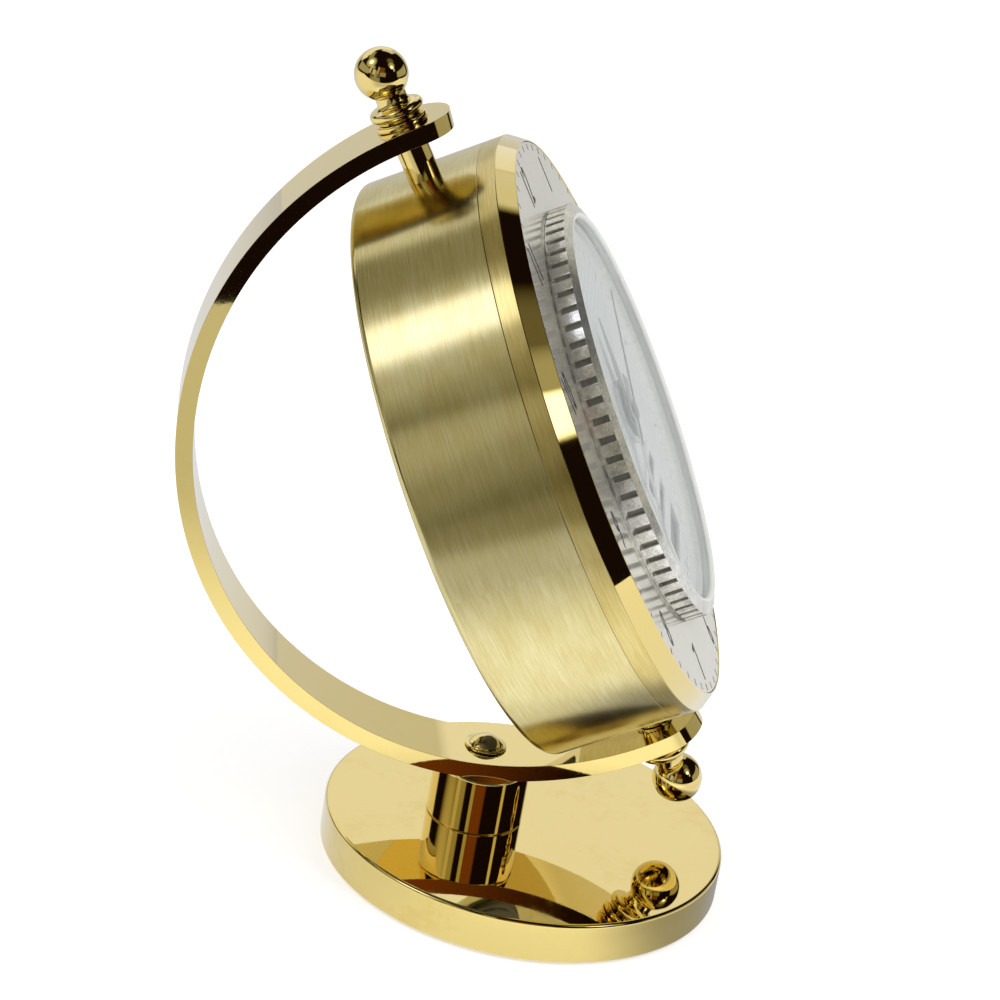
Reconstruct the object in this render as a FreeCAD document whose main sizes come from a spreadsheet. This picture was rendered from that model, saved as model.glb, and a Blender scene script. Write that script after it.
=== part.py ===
import FreeCAD
import Part

import math
import os

import Sketcher

# Swivel desk clock with a calendar, in millimetres.
#
# Frame of the whole clock: +Z up, origin at the middle of the underside of the base,
# the dial looks towards -Y and +X is on the right of someone who reads the dial.
# Two frames are derived from it. In the pivot frame Z is the swivel axis of the drum and
# the origin is the middle of the drum. In the dial frame Z points out of the dial, Y runs
# up the dial along the swivel axis, and the origin is the same point.

DOC = FreeCAD.newDocument("DeskClock")
SHEET = DOC.addObject("Spreadsheet::Sheet", "Sizes")

SIZES = {
    # Base and column
    "base_radius": 28.0,
    "base_height": 6.1,
    "base_edge": 0.5,
    "felt_margin": 2.5,
    "felt_thickness": 1.0,
    "felt_proud": 0.5,
    "column_radius": 6.7,
    "column_height": 7.95,
    "column_edge": 0.3,
    "base_screw_radius": 1.75,
    "base_screw_head_radius": 3.3,
    "base_screw_head_height": 1.9,
    "base_screw_head_cover": 0.3,
    "base_screw_bite": 3.3,
    # Arm
    "pivot_offset": 7.7,
    "column_shift": 0.5,
    "lean_angle": 30.75,
    "turn_angle": 8.15,
    "arm_gap": 5.4,
    "arm_thickness": 2.3,
    "arm_width": 11.0,
    "arm_overrun_angle": 7.75,
    "arm_end_flat": 0.3,
    "arm_screw_radius": 1.5,
    "arm_screw_head_radius": 2.4,
    "arm_screw_head_height": 1.3,
    "arm_screw_bite": 3.3,
    "washer_radius": 2.9,
    "washer_thickness": 0.3,
    # Swivel pivots
    "post_radius": 2.2,
    "journal_radius": 1.5,
    "stud_radius": 1.3,
    "stud_excess": 0.6,
    "bushing_radius": 2.3,
    "bushing_flange_radius": 2.6,
    "bushing_flange_thickness": 0.3,
    "thrust_washer_radius": 3.5,
    "thrust_washer_thickness": 0.7,
    "finial_foot_radius": 2.9,
    "finial_flange_radius": 3.15,
    "finial_flange_height": 1.35,
    "finial_bead_radius": 0.72,
    "finial_foot_height": 0.4,
    "finial_shoulder_height": 0.75,
    "finial_neck_radius": 2.05,
    "finial_neck_length": 0.8,
    "finial_ball_radius": 3.5,
    "finial_bore_depth": 2.2,
    "nut_flats": 5.0,
    "nut_thickness": 1.8,
    # Drum
    "case_wall": 1.2,
    "case_back": 10.1,
    "case_front": 7.4,
    "case_rear_rounding": 0.9,
    "case_lip_width": 2.0,
    "case_lip_thickness": 1.5,
    "bezel_band_width": 2.5,
    "bezel_bevel_height": 2.2,
    "bezel_bevel_width": 1.6,
    "bezel_face_width": 0.2,
    "bezel_wall": 1.8,
    "bezel_spigot": 3.0,
    "bezel_seam_edge": 0.12,
    "plate_band_width": 9.6,
    "plate_thickness": 0.8,
    "plate_recess": 0.1,
    "carrier_thickness": 1.5,
    "clamp_ring_width": 2.15,
    "clamp_ring_thickness": 1.0,
    # Coin-edge ring and what it holds
    "ring_radius": 28.6,
    "ring_foot_gap": 0.3,
    "ring_band_height": 2.55,
    "ring_slope_height": 0.7,
    "ring_foot_step": 0.5,
    "ring_wall": 1.6,
    "ring_lip_width": 0.6,
    "ring_lip_thickness": 0.6,
    "ring_teeth": 72,
    "tooth_gap_width": 0.8,
    "tooth_depth": 0.45,
    "crystal_thickness": 1.0,
    "crystal_rise": 1.5,
    "reflector_foot_width": 1.6,
    "reflector_top_width": 0.7,
    "reflector_height": 1.4,
    "dial_thickness": 0.4,
    "calendar_floor_drop": 0.6,
    "calendar_rim_width": 4.65,
    # Calendar rings and their window
    "calendar_ring_thickness": 0.3,
    "day_ring_width": 4.0,
    "date_ring_width": 4.1,
    "month_ring_width": 5.7,
    "window_half_width": 6.0,
    "row_inner_margin": 0.5,
    "row_outer_margin": 1.6,
    "frame_border": 1.0,
    "frame_thickness": 0.3,
    # Movement, battery and rear cover
    "movement_depth": 13.9,
    "movement_corner": 5.0,
    "boss_radius": 3.4,
    "boss_rise": 0.7,
    "boss_nut_width": 1.0,
    "boss_nut_thickness": 0.6,
    "battery_radius": 5.2,
    "battery_length": 43.3,
    "battery_tip_radius": 1.9,
    "battery_tip_length": 0.9,
    "battery_drop": 14.5,
    "battery_end_room": 1.0,
    "battery_side_room": 0.3,
    "bay_end_wall": 0.9,
    "battery_inset": 0.3,
    "contact_thickness": 0.4,
    "contact_side": 7.0,
    "cover_thickness": 1.4,
    "standoff_radius": 2.2,
    "standoff_inset": 5.8,
    "cover_screw_radius": 1.1,
    "cover_screw_head_radius": 2.0,
    "cover_screw_head_height": 0.9,
    "cover_screw_bite": 4.0,
    "knob_edge": 0.3,
    "set_knob_radius": 5.2,
    "set_knob_height": 1.9,
    "set_knob_stem_radius": 1.2,
    "date_knob_radius": 3.4,
    "date_knob_height": 1.5,
    "date_knob_stem_radius": 1.0,
    "date_knob_across": 15.0,
    "date_knob_up": 12.0,
    "knob_stem_bite": 2.0,
    "knob_lift": 0.5,
    "door_end_overlap": 0.9,
    "door_side_overlap": 0.5,
    "door_thickness": 1.2,
    "door_pin_radius": 0.5,
    "door_pin_length": 0.8,
    "door_notch_radius": 3.0,
    # Hands
    "hour_length": 13.0,
    "hour_width": 3.0,
    "hour_level": 0.8,
    "hour_tube_radius": 1.5,
    "minute_end_gap": 4.35,
    "minute_width": 2.2,
    "minute_tail": 5.0,
    "minute_level": 1.15,
    "minute_tube_radius": 0.9,
    "second_end_gap": 3.85,
    "second_width": 0.5,
    "second_level": 1.5,
    "second_tail": 6.0,
    "second_arbor_radius": 0.35,
    "hand_thickness": 0.18,
    "hand_hub_width": 0.9,
    "hand_shoulder": 3.4,
    "hand_tube_depth": 9.5,
    "hour_angle": 19.0,
    "minute_angle": 228.0,
    "second_angle": 62.0,
    # Clearances
    "thread_gap": 0.05,
    "running_gap": 0.05,
    "seat_gap": 0.05,
    "end_play": 0.1,
    "opening_gap": 0.25,
}


class Size:
    """A number together with the sheet expression that it comes from."""

    def __init__(self, number, text):
        self.number = number
        self.text = text

    def __add__(self, other):
        other = as_size(other)
        return Size(self.number + other.number, f"({self.text} + {other.text})")

    def __sub__(self, other):
        other = as_size(other)
        return Size(self.number - other.number, f"({self.text} - {other.text})")

    def __mul__(self, other):
        other = as_size(other)
        return Size(self.number * other.number, f"({self.text} * {other.text})")

    def __truediv__(self, other):
        other = as_size(other)
        return Size(self.number / other.number, f"({self.text} / {other.text})")

    def __neg__(self):
        return Size(-self.number, f"(-{self.text})")


def as_size(value):
    """Returns a plain number as a Size, and a Size as it is."""
    if isinstance(value, Size):
        return value
    return Size(float(value), repr(float(value)))


def root(size):
    """Returns the square root of a Size."""
    return Size(math.sqrt(size.number), f"sqrt({size.text})")


def leg(hypotenuse, other_leg):
    """Returns the missing leg of a right-angled triangle."""
    return root(hypotenuse * hypotenuse - other_leg * other_leg)


def fill_sheet():
    """Writes each size beside its name and gives the cell that name as its alias."""
    for row, (alias, number) in enumerate(SIZES.items(), start=1):
        SHEET.set(f"A{row}", alias.replace("_", " "))
        SHEET.set(f"B{row}", str(number))
        SHEET.setAlias(f"B{row}", alias)


def size(alias):
    """Returns a named size of the sheet."""
    return Size(float(SIZES[alias]), f"Sizes.{alias}")


def derive(alias, value):
    """Adds a size that follows from others to the sheet, as a formula, and returns it."""
    DERIVED[alias] = value.number
    row = len(SIZES) + len(DERIVED)
    SHEET.set(f"A{row}", alias.replace("_", " "))
    SHEET.set(f"B{row}", "=" + value.text.replace("Sizes.", ""))
    SHEET.setAlias(f"B{row}", alias)
    return Size(value.number, f"Sizes.{alias}")


class Arc:
    """An arc of an outline: where it ends, its radius and the side its centre is on."""

    def __init__(self, end, radius, centre_left):
        self.end = end
        self.radius = as_size(radius)
        self.centre_left = centre_left

    def curve(self, start):
        """Returns the circle's arc, and whether it runs from its start to its end."""
        first = FreeCAD.Vector(start[0].number, start[1].number, 0)
        last = FreeCAD.Vector(self.end[0].number, self.end[1].number, 0)
        chord = last - first
        reach = math.sqrt(max(self.radius.number ** 2 - chord.Length ** 2 / 4, 0.0))
        left = FreeCAD.Vector(-chord.y, chord.x, 0).normalize()
        side = 1 if self.centre_left else -1
        centre = (first + last) * 0.5 + left * (side * reach)
        circle = Part.Circle(centre, FreeCAD.Vector(0, 0, 1), self.radius.number)
        anticlockwise = self.centre_left
        begin, finish = (first, last) if anticlockwise else (last, first)
        low = math.atan2(begin.y - centre.y, begin.x - centre.x)
        high = math.atan2(finish.y - centre.y, finish.x - centre.x)
        if high <= low:
            high += 2 * math.pi
        return Part.ArcOfCircle(circle, low, high), anticlockwise


def new_body(label):
    """Makes an empty body whose label is the sub-part's name."""
    body = DOC.addObject("PartDesign::Body", label.title().replace("_", ""))
    body.Label = label
    return body


def new_sketch(body, name, plane, level=None):
    """Makes a sketch on one of the body's origin planes, raised to a level."""
    sketch = body.newObject("Sketcher::SketchObject", name)
    support = [item for item in body.Origin.OriginFeatures if item.Role == plane][0]
    sketch.AttachmentSupport = [(support, "")]
    sketch.MapMode = "FlatFace"
    if level is not None:
        sketch.setExpression("AttachmentOffset.Base.z", as_size(level).text)
    return sketch


def bind_point(sketch, edge, end, point):
    """Holds one end of an edge at a point measured from the sketch's origin."""
    for kind, axis, value in (("DistanceX", -2, point[0]), ("DistanceY", -1, point[1])):
        if value.number == 0 and value.text == "0.0":
            sketch.addConstraint(Sketcher.Constraint("PointOnObject", edge, end, axis))
            continue
        index = sketch.addConstraint(Sketcher.Constraint(kind, -1, 1, edge, end, value.number))
        sketch.setExpression(f"Constraints[{index}]", value.text)


def draw_outline(sketch, steps):
    """Draws a closed outline; a step is a point, reached by a line, or an Arc."""
    ends = []
    for step in steps:
        end = step.end if isinstance(step, Arc) else step
        ends.append((as_size(end[0]), as_size(end[1])))
    first_edge = sketch.GeometryCount
    sides = []
    for index, step in enumerate(steps):
        start, end = ends[index - 1], ends[index]
        if isinstance(step, Arc):
            step.end = end
            curve, forward = step.curve(start)
        else:
            first = FreeCAD.Vector(start[0].number, start[1].number, 0)
            last = FreeCAD.Vector(end[0].number, end[1].number, 0)
            curve, forward = Part.LineSegment(first, last), True
        edge = sketch.addGeometry(curve, False)
        sides.append((1, 2) if forward else (2, 1))
        if isinstance(step, Arc):
            bound = sketch.addConstraint(Sketcher.Constraint("Radius", edge, step.radius.number))
            sketch.setExpression(f"Constraints[{bound}]", step.radius.text)
    count = len(steps)
    for index in range(count):
        after = (index + 1) % count
        edge, next_edge = first_edge + index, first_edge + after
        joined = Sketcher.Constraint("Coincident", edge, sides[index][1], next_edge, sides[after][0])
        sketch.addConstraint(joined)
        bind_point(sketch, edge, sides[index][1], ends[index])


def draw_circle(sketch, radius, across=0, up=0):
    """Draws a circle about a point."""
    radius, across, up = as_size(radius), as_size(across), as_size(up)
    centre = FreeCAD.Vector(across.number, up.number, 0)
    circle = Part.Circle(centre, FreeCAD.Vector(0, 0, 1), radius.number)
    edge = sketch.addGeometry(circle, False)
    bound = sketch.addConstraint(Sketcher.Constraint("Radius", edge, radius.number))
    sketch.setExpression(f"Constraints[{bound}]", radius.text)
    bind_point(sketch, edge, 3, (across, up))


def draw_box(sketch, left, right, bottom, top):
    """Draws an upright rectangle."""
    draw_outline(sketch, [(left, bottom), (right, bottom), (right, top), (left, top)])


def turn(body, steps, name="Turned"):
    """Turns an outline of (radius, height) points about the body's Z axis."""
    sketch = new_sketch(body, name + "Outline", "XZ_Plane")
    draw_outline(sketch, steps)
    feature = body.newObject("PartDesign::Revolution", name)
    feature.Profile = sketch
    feature.ReferenceAxis = (sketch, ["V_Axis"])
    feature.Angle = 360
    return feature


def extrude(body, kind, name, sketch, length=None, both_ways=False, downwards=False):
    """Adds a Pad or a Pocket that follows a sketch; without a length a Pocket goes right through."""
    feature = body.newObject(f"PartDesign::{kind}", name)
    feature.Profile = sketch
    if length is None:
        feature.Type = "ThroughAll"
    else:
        feature.setExpression("Length", as_size(length).text)
    feature.Midplane = both_ways
    feature.Reversed = downwards
    return feature


def round_edges(body, name, edges, radius):
    """Adds a fillet to named edges of the body as it stands."""
    before = body.Tip
    feature = body.newObject("PartDesign::Fillet", name)
    feature.Base = (before, edges)
    feature.setExpression("Radius", as_size(radius).text)
    return feature


def boolean(kind, label, base, tool):
    """Cuts, fuses or intersects two objects and gives the result its label."""
    result = DOC.addObject(f"Part::{kind}", label.title().replace("_", ""))
    result.Label = label
    result.Base = base
    result.Tool = tool
    return result


def cylinder(name, radius, height):
    """Makes a plain cylinder that stands on its own XY plane."""
    tool = DOC.addObject("Part::Cylinder", name)
    tool.setExpression("Radius", as_size(radius).text)
    tool.setExpression("Height", as_size(height).text)
    return tool


def frame_text(across=0, back=0, up=0, axis="0; 0; 1", angle=0):
    """Returns the sheet expression of a placement."""
    spot = "; ".join(as_size(value).text for value in (across, back, up))
    rotation = f"create(<<rotation>>; create(<<vector>>; {axis}); {as_size(angle).text})"
    return f"create(<<placement>>; create(<<vector>>; {spot}); {rotation})"


def place(item, *frames):
    """Binds an object's Placement to a chain of frames."""
    item.setExpression("Placement", " * ".join(frames))
    return item


fill_sheet()
DERIVED = {}
TINY = 1e-4

RUN = size("running_gap")
THREAD = size("thread_gap")
SEAT = size("seat_gap")

PLATE_RADIUS = derive("plate_radius", size("ring_radius") + size("plate_band_width"))
FACE_RADIUS = derive("bezel_face_radius", PLATE_RADIUS + size("bezel_face_width"))
CASE_RADIUS = derive("case_radius", FACE_RADIUS + size("bezel_bevel_width"))
CASE_INNER = derive("case_inner", CASE_RADIUS - size("case_wall"))
BEZEL_BORE = derive("bezel_bore", CASE_INNER - size("bezel_wall"))
STANDOFF_CIRCLE = derive("standoff_circle", CASE_INNER - size("standoff_inset"))
ARM_INNER = derive("arm_inner", CASE_RADIUS + size("arm_gap"))
ARM_RADIUS = derive("arm_radius", ARM_INNER + size("arm_thickness"))
ARM_UNDERSIDE = derive("arm_underside", size("base_height") + size("column_height"))
PIVOT_HEIGHT = derive("pivot_height", ARM_UNDERSIDE + ARM_RADIUS)
THRUST_TOP = derive("thrust_top", ARM_RADIUS + size("thrust_washer_thickness") + size("end_play"))
COLUMN_OFFSET = derive("column_offset", size("pivot_offset") - size("column_shift"))
FELT_SEAT = size("felt_thickness")
FELT_RADIUS = derive("felt_radius", size("base_radius") - size("felt_margin"))

COVER_BACK = derive("cover_back", size("case_lip_thickness") - size("case_back"))
COVER_FRONT = derive("cover_front", COVER_BACK + size("cover_thickness"))
BEZEL_SHOULDER = derive("bezel_shoulder", size("case_front") + size("bezel_band_width"))
BEZEL_FRONT = derive("bezel_front", BEZEL_SHOULDER + size("bezel_bevel_height"))
PLATE_TOP = derive("plate_top", BEZEL_FRONT - size("plate_recess"))
PLATE_SEAT = derive("plate_seat", PLATE_TOP - size("plate_thickness"))
CARRIER_BACK = derive("carrier_back", PLATE_SEAT - size("carrier_thickness"))
MOVEMENT_FRONT = derive("movement_front", CARRIER_BACK - size("clamp_ring_thickness"))
MOVEMENT_BACK = derive("movement_back", MOVEMENT_FRONT - size("movement_depth"))

RING_NECK = derive("ring_neck", size("ring_radius") - size("ring_foot_step"))
RING_BORE = derive("ring_bore", size("ring_radius") - size("ring_wall"))
RING_LIP = derive("ring_lip", RING_BORE - size("ring_lip_width"))
PLATE_HOLE = derive("plate_hole", RING_NECK + SEAT)
RING_FOOT = derive("ring_foot", PLATE_TOP + size("ring_foot_gap"))
RING_BAND_TOP = derive("ring_band_top", RING_FOOT + size("ring_band_height"))
RING_TOP = derive("ring_top", RING_BAND_TOP + size("ring_slope_height"))
LIP_SEAT = derive("lip_seat", RING_TOP - size("ring_lip_thickness"))
CRYSTAL_SEAT = derive("crystal_seat", LIP_SEAT - size("crystal_thickness"))
DIAL_TOP = derive("dial_top", CRYSTAL_SEAT - size("reflector_height"))
DIAL_SEAT = derive("dial_seat", DIAL_TOP - size("dial_thickness"))
INSERT_RADIUS = derive("insert_radius", RING_BORE - SEAT)
DIAL_REACH = derive("dial_reach", INSERT_RADIUS - size("reflector_foot_width"))
CALENDAR_FLOOR = derive("calendar_floor", DIAL_SEAT - size("calendar_floor_drop"))
BOSS_TOP = derive("boss_top", DIAL_TOP + size("boss_rise"))

RIM_INNER = derive("calendar_rim_inner", INSERT_RADIUS - size("calendar_rim_width"))
MONTH_OUTER = derive("month_ring_outer", RIM_INNER - size("end_play"))
MONTH_INNER = derive("month_ring_inner", MONTH_OUTER - size("month_ring_width"))
DATE_OUTER = derive("date_ring_outer", MONTH_INNER - size("end_play"))
DATE_INNER = derive("date_ring_inner", DATE_OUTER - size("date_ring_width"))
DAY_OUTER = derive("day_ring_outer", DATE_INNER - size("end_play"))
DAY_INNER = derive("day_ring_inner", DAY_OUTER - size("day_ring_width"))
CALENDAR_HUB = derive("calendar_hub", DAY_INNER - size("end_play"))
RING_EDGES = {
    "day": (DAY_INNER, DAY_OUTER),
    "date": (DATE_INNER, DATE_OUTER),
    "month": (MONTH_INNER, MONTH_OUTER),
}

BATTERY_HALF = derive("battery_half", (size("battery_length") + size("battery_tip_length")) / 2)
BAY_REACH = derive("bay_reach", BATTERY_HALF + size("battery_end_room"))
BAY_ROOM = derive("bay_room", size("battery_radius") + size("battery_side_room"))
MOVEMENT_HALF = derive("movement_half", BAY_REACH + size("bay_end_wall"))
DOOR_HALF = derive("door_half", BAY_REACH + size("door_end_overlap"))
DOOR_WIDE = derive("door_wide", BAY_ROOM + size("door_side_overlap"))
DOOR_AXIS_UP = derive(
    "door_axis_up", -(size("battery_drop") + DOOR_WIDE - size("door_thickness") / 2)
)
DOOR_AXIS_LEVEL = derive("door_axis_level", COVER_BACK + size("door_thickness") / 2)

STANDOFF_ANGLES = (90, 200, 340)
OVERCUT = 3

STAND = frame_text(back=COLUMN_OFFSET)
PIVOT = frame_text(
    back=size("pivot_offset"), up=PIVOT_HEIGHT, axis="1; 0; 0", angle=-size("lean_angle")
)
TURNED = frame_text(angle=-size("turn_angle"))
TIPPED = frame_text(axis="1; 0; 0", angle=90)
DOWNWARDS = frame_text(axis="1; 0; 0", angle=180)
TO_DIAL = (PIVOT, TURNED, TIPPED)


def build_base_plate():
    """Round weighted foot with a recess for its felt and a counterbored screw hole."""
    body = new_body("base_plate")
    outer, edge = size("base_radius"), size("base_edge")
    recess = FELT_RADIUS + size("opening_gap")
    turn(body, [
        (0, FELT_SEAT),
        (recess, FELT_SEAT),
        (recess, size("felt_proud")),
        (outer - edge, size("felt_proud")),
        (outer, size("felt_proud") + edge),
        (outer, size("base_height") - edge),
        Arc((outer - edge, size("base_height")), edge, centre_left=True),
        (0, size("base_height")),
    ])
    hole = new_sketch(body, "ScrewHole", "XY_Plane")
    draw_circle(hole, size("base_screw_radius") + THREAD, up=COLUMN_OFFSET)
    extrude(body, "Pocket", "ScrewBore", hole, both_ways=True)
    head = new_sketch(body, "HeadHole", "XY_Plane", FELT_SEAT)
    draw_circle(head, size("base_screw_head_radius") + SEAT, up=COLUMN_OFFSET)
    depth = size("base_screw_head_height") + size("base_screw_head_cover")
    extrude(body, "Pocket", "Counterbore", head, depth, downwards=True)
    return [body]


def build_felt_pad():
    """Soft disc under the base."""
    body = new_body("felt_pad")
    disc = new_sketch(body, "Disc", "XY_Plane")
    draw_circle(disc, FELT_RADIUS)
    extrude(body, "Pad", "Sheet", disc, size("felt_thickness"))
    return [body]


def build_column():
    """Short polished column whose top is hollowed to the curve of the arm."""
    blank = new_body("column_blank")
    outer, edge = size("column_radius"), size("column_edge")
    foot = size("base_height")
    top = PIVOT_HEIGHT - leg(ARM_RADIUS, outer + size("column_shift"))
    turn(blank, [
        (0, foot),
        (outer - edge, foot),
        (outer, foot + edge),
        (outer, top),
        (0, top),
    ])
    lower = new_sketch(blank, "LowerHole", "XY_Plane", foot)
    draw_circle(lower, size("base_screw_radius") + THREAD)
    extrude(blank, "Pocket", "LowerBore", lower, size("base_screw_bite") + THREAD, downwards=True)
    upper = new_sketch(blank, "UpperHole", "XY_Plane", top)
    draw_circle(upper, size("arm_screw_radius") + THREAD)
    extrude(blank, "Pocket", "UpperBore", upper, size("arm_screw_bite") + top - ARM_UNDERSIDE)
    place(blank, STAND)
    length = outer * OVERCUT
    saddle = cylinder("SaddleTool", ARM_RADIUS + SEAT, length)
    place(saddle, frame_text(
        across=-length / 2, back=size("pivot_offset"), up=PIVOT_HEIGHT,
        axis="0; 1; 0", angle=90,
    ))
    return [boolean("Cut", "column", blank, saddle)]


def build_base_screw():
    """Cheese-head screw that holds the column to the base from below."""
    body = new_body("base_screw")
    head_top = FELT_SEAT + size("base_screw_head_height") + size("base_screw_head_cover")
    turn(body, [
        (0, head_top - size("base_screw_head_height")),
        (size("base_screw_head_radius"), head_top - size("base_screw_head_height")),
        (size("base_screw_head_radius"), head_top),
        (size("base_screw_radius"), head_top),
        (size("base_screw_radius"), size("base_height") + size("base_screw_bite")),
        (0, size("base_height") + size("base_screw_bite")),
    ])
    return [place(body, STAND)]


def build_arm():
    """Flat bar bent round the drum, from the top pivot past the back to the bottom one."""
    bar = new_body("arm_bar")
    section = new_sketch(bar, "Section", "XY_Plane")
    half = size("arm_width") / 2
    draw_box(section, -half, half, ARM_INNER, ARM_RADIUS)
    bend = bar.newObject("PartDesign::Revolution", "Bend")
    bend.Profile = section
    bend.ReferenceAxis = (section, ["H_Axis"])
    bend.setExpression("Angle", (size("arm_overrun_angle") * 2 + 180).text)
    bend.Midplane = True
    holes = new_sketch(bar, "PivotHoles", "XY_Plane")
    draw_circle(holes, size("bushing_radius") + THREAD)
    extrude(bar, "Pocket", "PivotBores", holes, both_ways=True)
    DOC.recompute()
    ends = []
    for index, edge in enumerate(bar.Shape.Edges, start=1):
        if edge.Curve.TypeId != "Part::GeomLine":
            continue
        if abs(edge.Length - SIZES["arm_thickness"]) < TINY:
            ends.append(f"Edge{index}")
    round_edges(bar, "RoundEnds", ends, half - size("arm_end_flat"))
    place(bar, PIVOT)
    drill = cylinder("ArmDrill", size("arm_screw_radius") + THREAD, size("arm_thickness") * OVERCUT)
    start = ARM_UNDERSIDE - size("arm_thickness")
    place(drill, frame_text(back=COLUMN_OFFSET, up=start))
    return [boolean("Cut", "arm", bar, drill)]


def build_arm_screw():
    """Dome-head screw inside the arm, over the column, with its washer."""
    seat = PIVOT_HEIGHT - leg(ARM_INNER, size("washer_radius") + size("column_shift"))
    washer_top = seat + size("washer_thickness")
    washer = new_body("arm_washer")
    turn(washer, [
        (size("arm_screw_radius") + THREAD, seat),
        (size("washer_radius"), seat),
        (size("washer_radius"), washer_top),
        (size("arm_screw_radius") + THREAD, washer_top),
    ])
    screw = new_body("arm_screw")
    head, rise = size("arm_screw_head_radius"), size("arm_screw_head_height")
    dome = (head * head + rise * rise) / (rise * 2)
    end = ARM_UNDERSIDE - size("arm_screw_bite") + THREAD
    turn(screw, [
        (0, end),
        (size("arm_screw_radius"), end),
        (size("arm_screw_radius"), washer_top),
        (head, washer_top),
        Arc((0, washer_top + rise), dome, centre_left=True),
    ])
    return [place(washer, STAND), place(screw, STAND)]


def build_bushing(label, side):
    """Flanged sleeve in one of the arm's pivot holes."""
    body = new_body(label)
    flange = size("bushing_flange_radius")
    seat = leg(ARM_INNER, flange)
    bore = size("journal_radius") + RUN
    turn(body, [
        (bore, seat - size("bushing_flange_thickness")),
        (flange, seat - size("bushing_flange_thickness")),
        (flange, seat),
        (size("bushing_radius"), seat),
        (size("bushing_radius"), leg(ARM_RADIUS, size("bushing_radius"))),
        (bore, leg(ARM_RADIUS, size("bushing_radius"))),
    ])
    return [place(body, PIVOT, *side)]


def build_thrust_washer(label, side):
    """Washer between the arm and a finial."""
    body = new_body(label)
    top = ARM_RADIUS + size("thrust_washer_thickness")
    turn(body, [
        (size("journal_radius") + RUN, ARM_RADIUS),
        (size("thrust_washer_radius"), ARM_RADIUS),
        (size("thrust_washer_radius"), top),
        (size("journal_radius") + RUN, top),
    ])
    return [place(body, PIVOT, *side)]


def build_pivot_post(label, side):
    """Turned post: a stud through the drum's wall, a shoulder, a journal and a stud on top."""
    body = new_body(label)
    stud = size("stud_radius")
    flange_seat = leg(ARM_INNER, size("bushing_flange_radius"))
    shoulder = flange_seat - size("bushing_flange_thickness") - size("end_play")
    inner_end = nut_seat() - size("nut_thickness") - size("stud_excess")
    outer_end = THRUST_TOP + size("finial_bore_depth") - size("end_play")
    turn(body, [
        (0, inner_end),
        (stud, inner_end),
        (stud, CASE_RADIUS),
        (size("post_radius"), CASE_RADIUS),
        (size("post_radius"), shoulder),
        (size("journal_radius"), shoulder),
        (size("journal_radius"), THRUST_TOP),
        (stud, THRUST_TOP),
        (stud, outer_end),
        (0, outer_end),
    ])
    return [place(body, PIVOT, TURNED, *side)]


def nut_seat():
    """Returns how far from the drum's middle a nut rests on the inside of the drum's wall."""
    return leg(CASE_INNER, size("nut_flats") / math.sqrt(3))


def build_pivot_nut(label, side):
    """Hexagon nut on a pivot post's stud, inside the drum."""
    prism = DOC.addObject("Part::Prism", label.title().replace("_", "") + "Prism")
    prism.Polygon = 6
    prism.setExpression("Circumradius", (size("nut_flats") / math.sqrt(3)).text)
    prism.setExpression("Height", size("nut_thickness").text)
    level = frame_text(up=nut_seat() - size("nut_thickness"))
    place(prism, PIVOT, TURNED, *side, level)
    bore = cylinder(label.title().replace("_", "") + "Bore", size("stud_radius") + THREAD,
                    size("nut_thickness") * OVERCUT)
    below = frame_text(up=nut_seat() - size("nut_thickness") * 2)
    place(bore, PIVOT, TURNED, *side, below)
    return [boolean("Cut", label, prism, bore)]


def build_finial(label, side):
    """Turned finial: foot, rounded flange, waist and ball."""
    body = new_body(label)
    foot = THRUST_TOP
    flange_foot = foot + size("finial_foot_height")
    flange_top = flange_foot + size("finial_flange_height")
    waist = flange_top + size("finial_shoulder_height")
    neck, ball = size("finial_neck_radius"), size("finial_ball_radius")
    middle = waist + size("finial_neck_length") + leg(ball, neck)
    flange = size("finial_flange_radius")
    bore = size("stud_radius") + THREAD
    turn(body, [
        (bore, foot),
        (size("finial_foot_radius"), foot),
        (size("finial_foot_radius"), flange_foot),
        (flange, flange_foot),
        Arc((flange, flange_top), size("finial_bead_radius"), centre_left=True),
        Arc((neck, waist), flange - neck, centre_left=False),
        (neck, waist + size("finial_neck_length")),
        Arc((0, middle + ball), ball, centre_left=True),
        (0, foot + size("finial_bore_depth")),
        (bore, foot + size("finial_bore_depth")),
    ])
    return [place(body, PIVOT, TURNED, *side)]


def build_case_shell():
    """Brushed drum with an inward lip at the back and two holes for the pivot posts."""
    body = new_body("case_shell")
    outer, back = CASE_RADIUS, -size("case_back")
    rounding, seam = size("case_rear_rounding"), size("bezel_seam_edge")
    lip = CASE_INNER - size("case_lip_width")
    turn(body, [
        (lip, back),
        (outer - rounding, back),
        Arc((outer, back + rounding), rounding, centre_left=True),
        (outer, size("case_front") - seam),
        (outer - seam, size("case_front")),
        (CASE_INNER, size("case_front")),
        (CASE_INNER, COVER_BACK),
        (lip, COVER_BACK),
    ])
    holes = new_sketch(body, "PostHoles", "XZ_Plane")
    draw_circle(holes, size("stud_radius") + THREAD)
    extrude(body, "Pocket", "PostBores", holes, both_ways=True)
    return [place(body, *TO_DIAL)]


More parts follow.
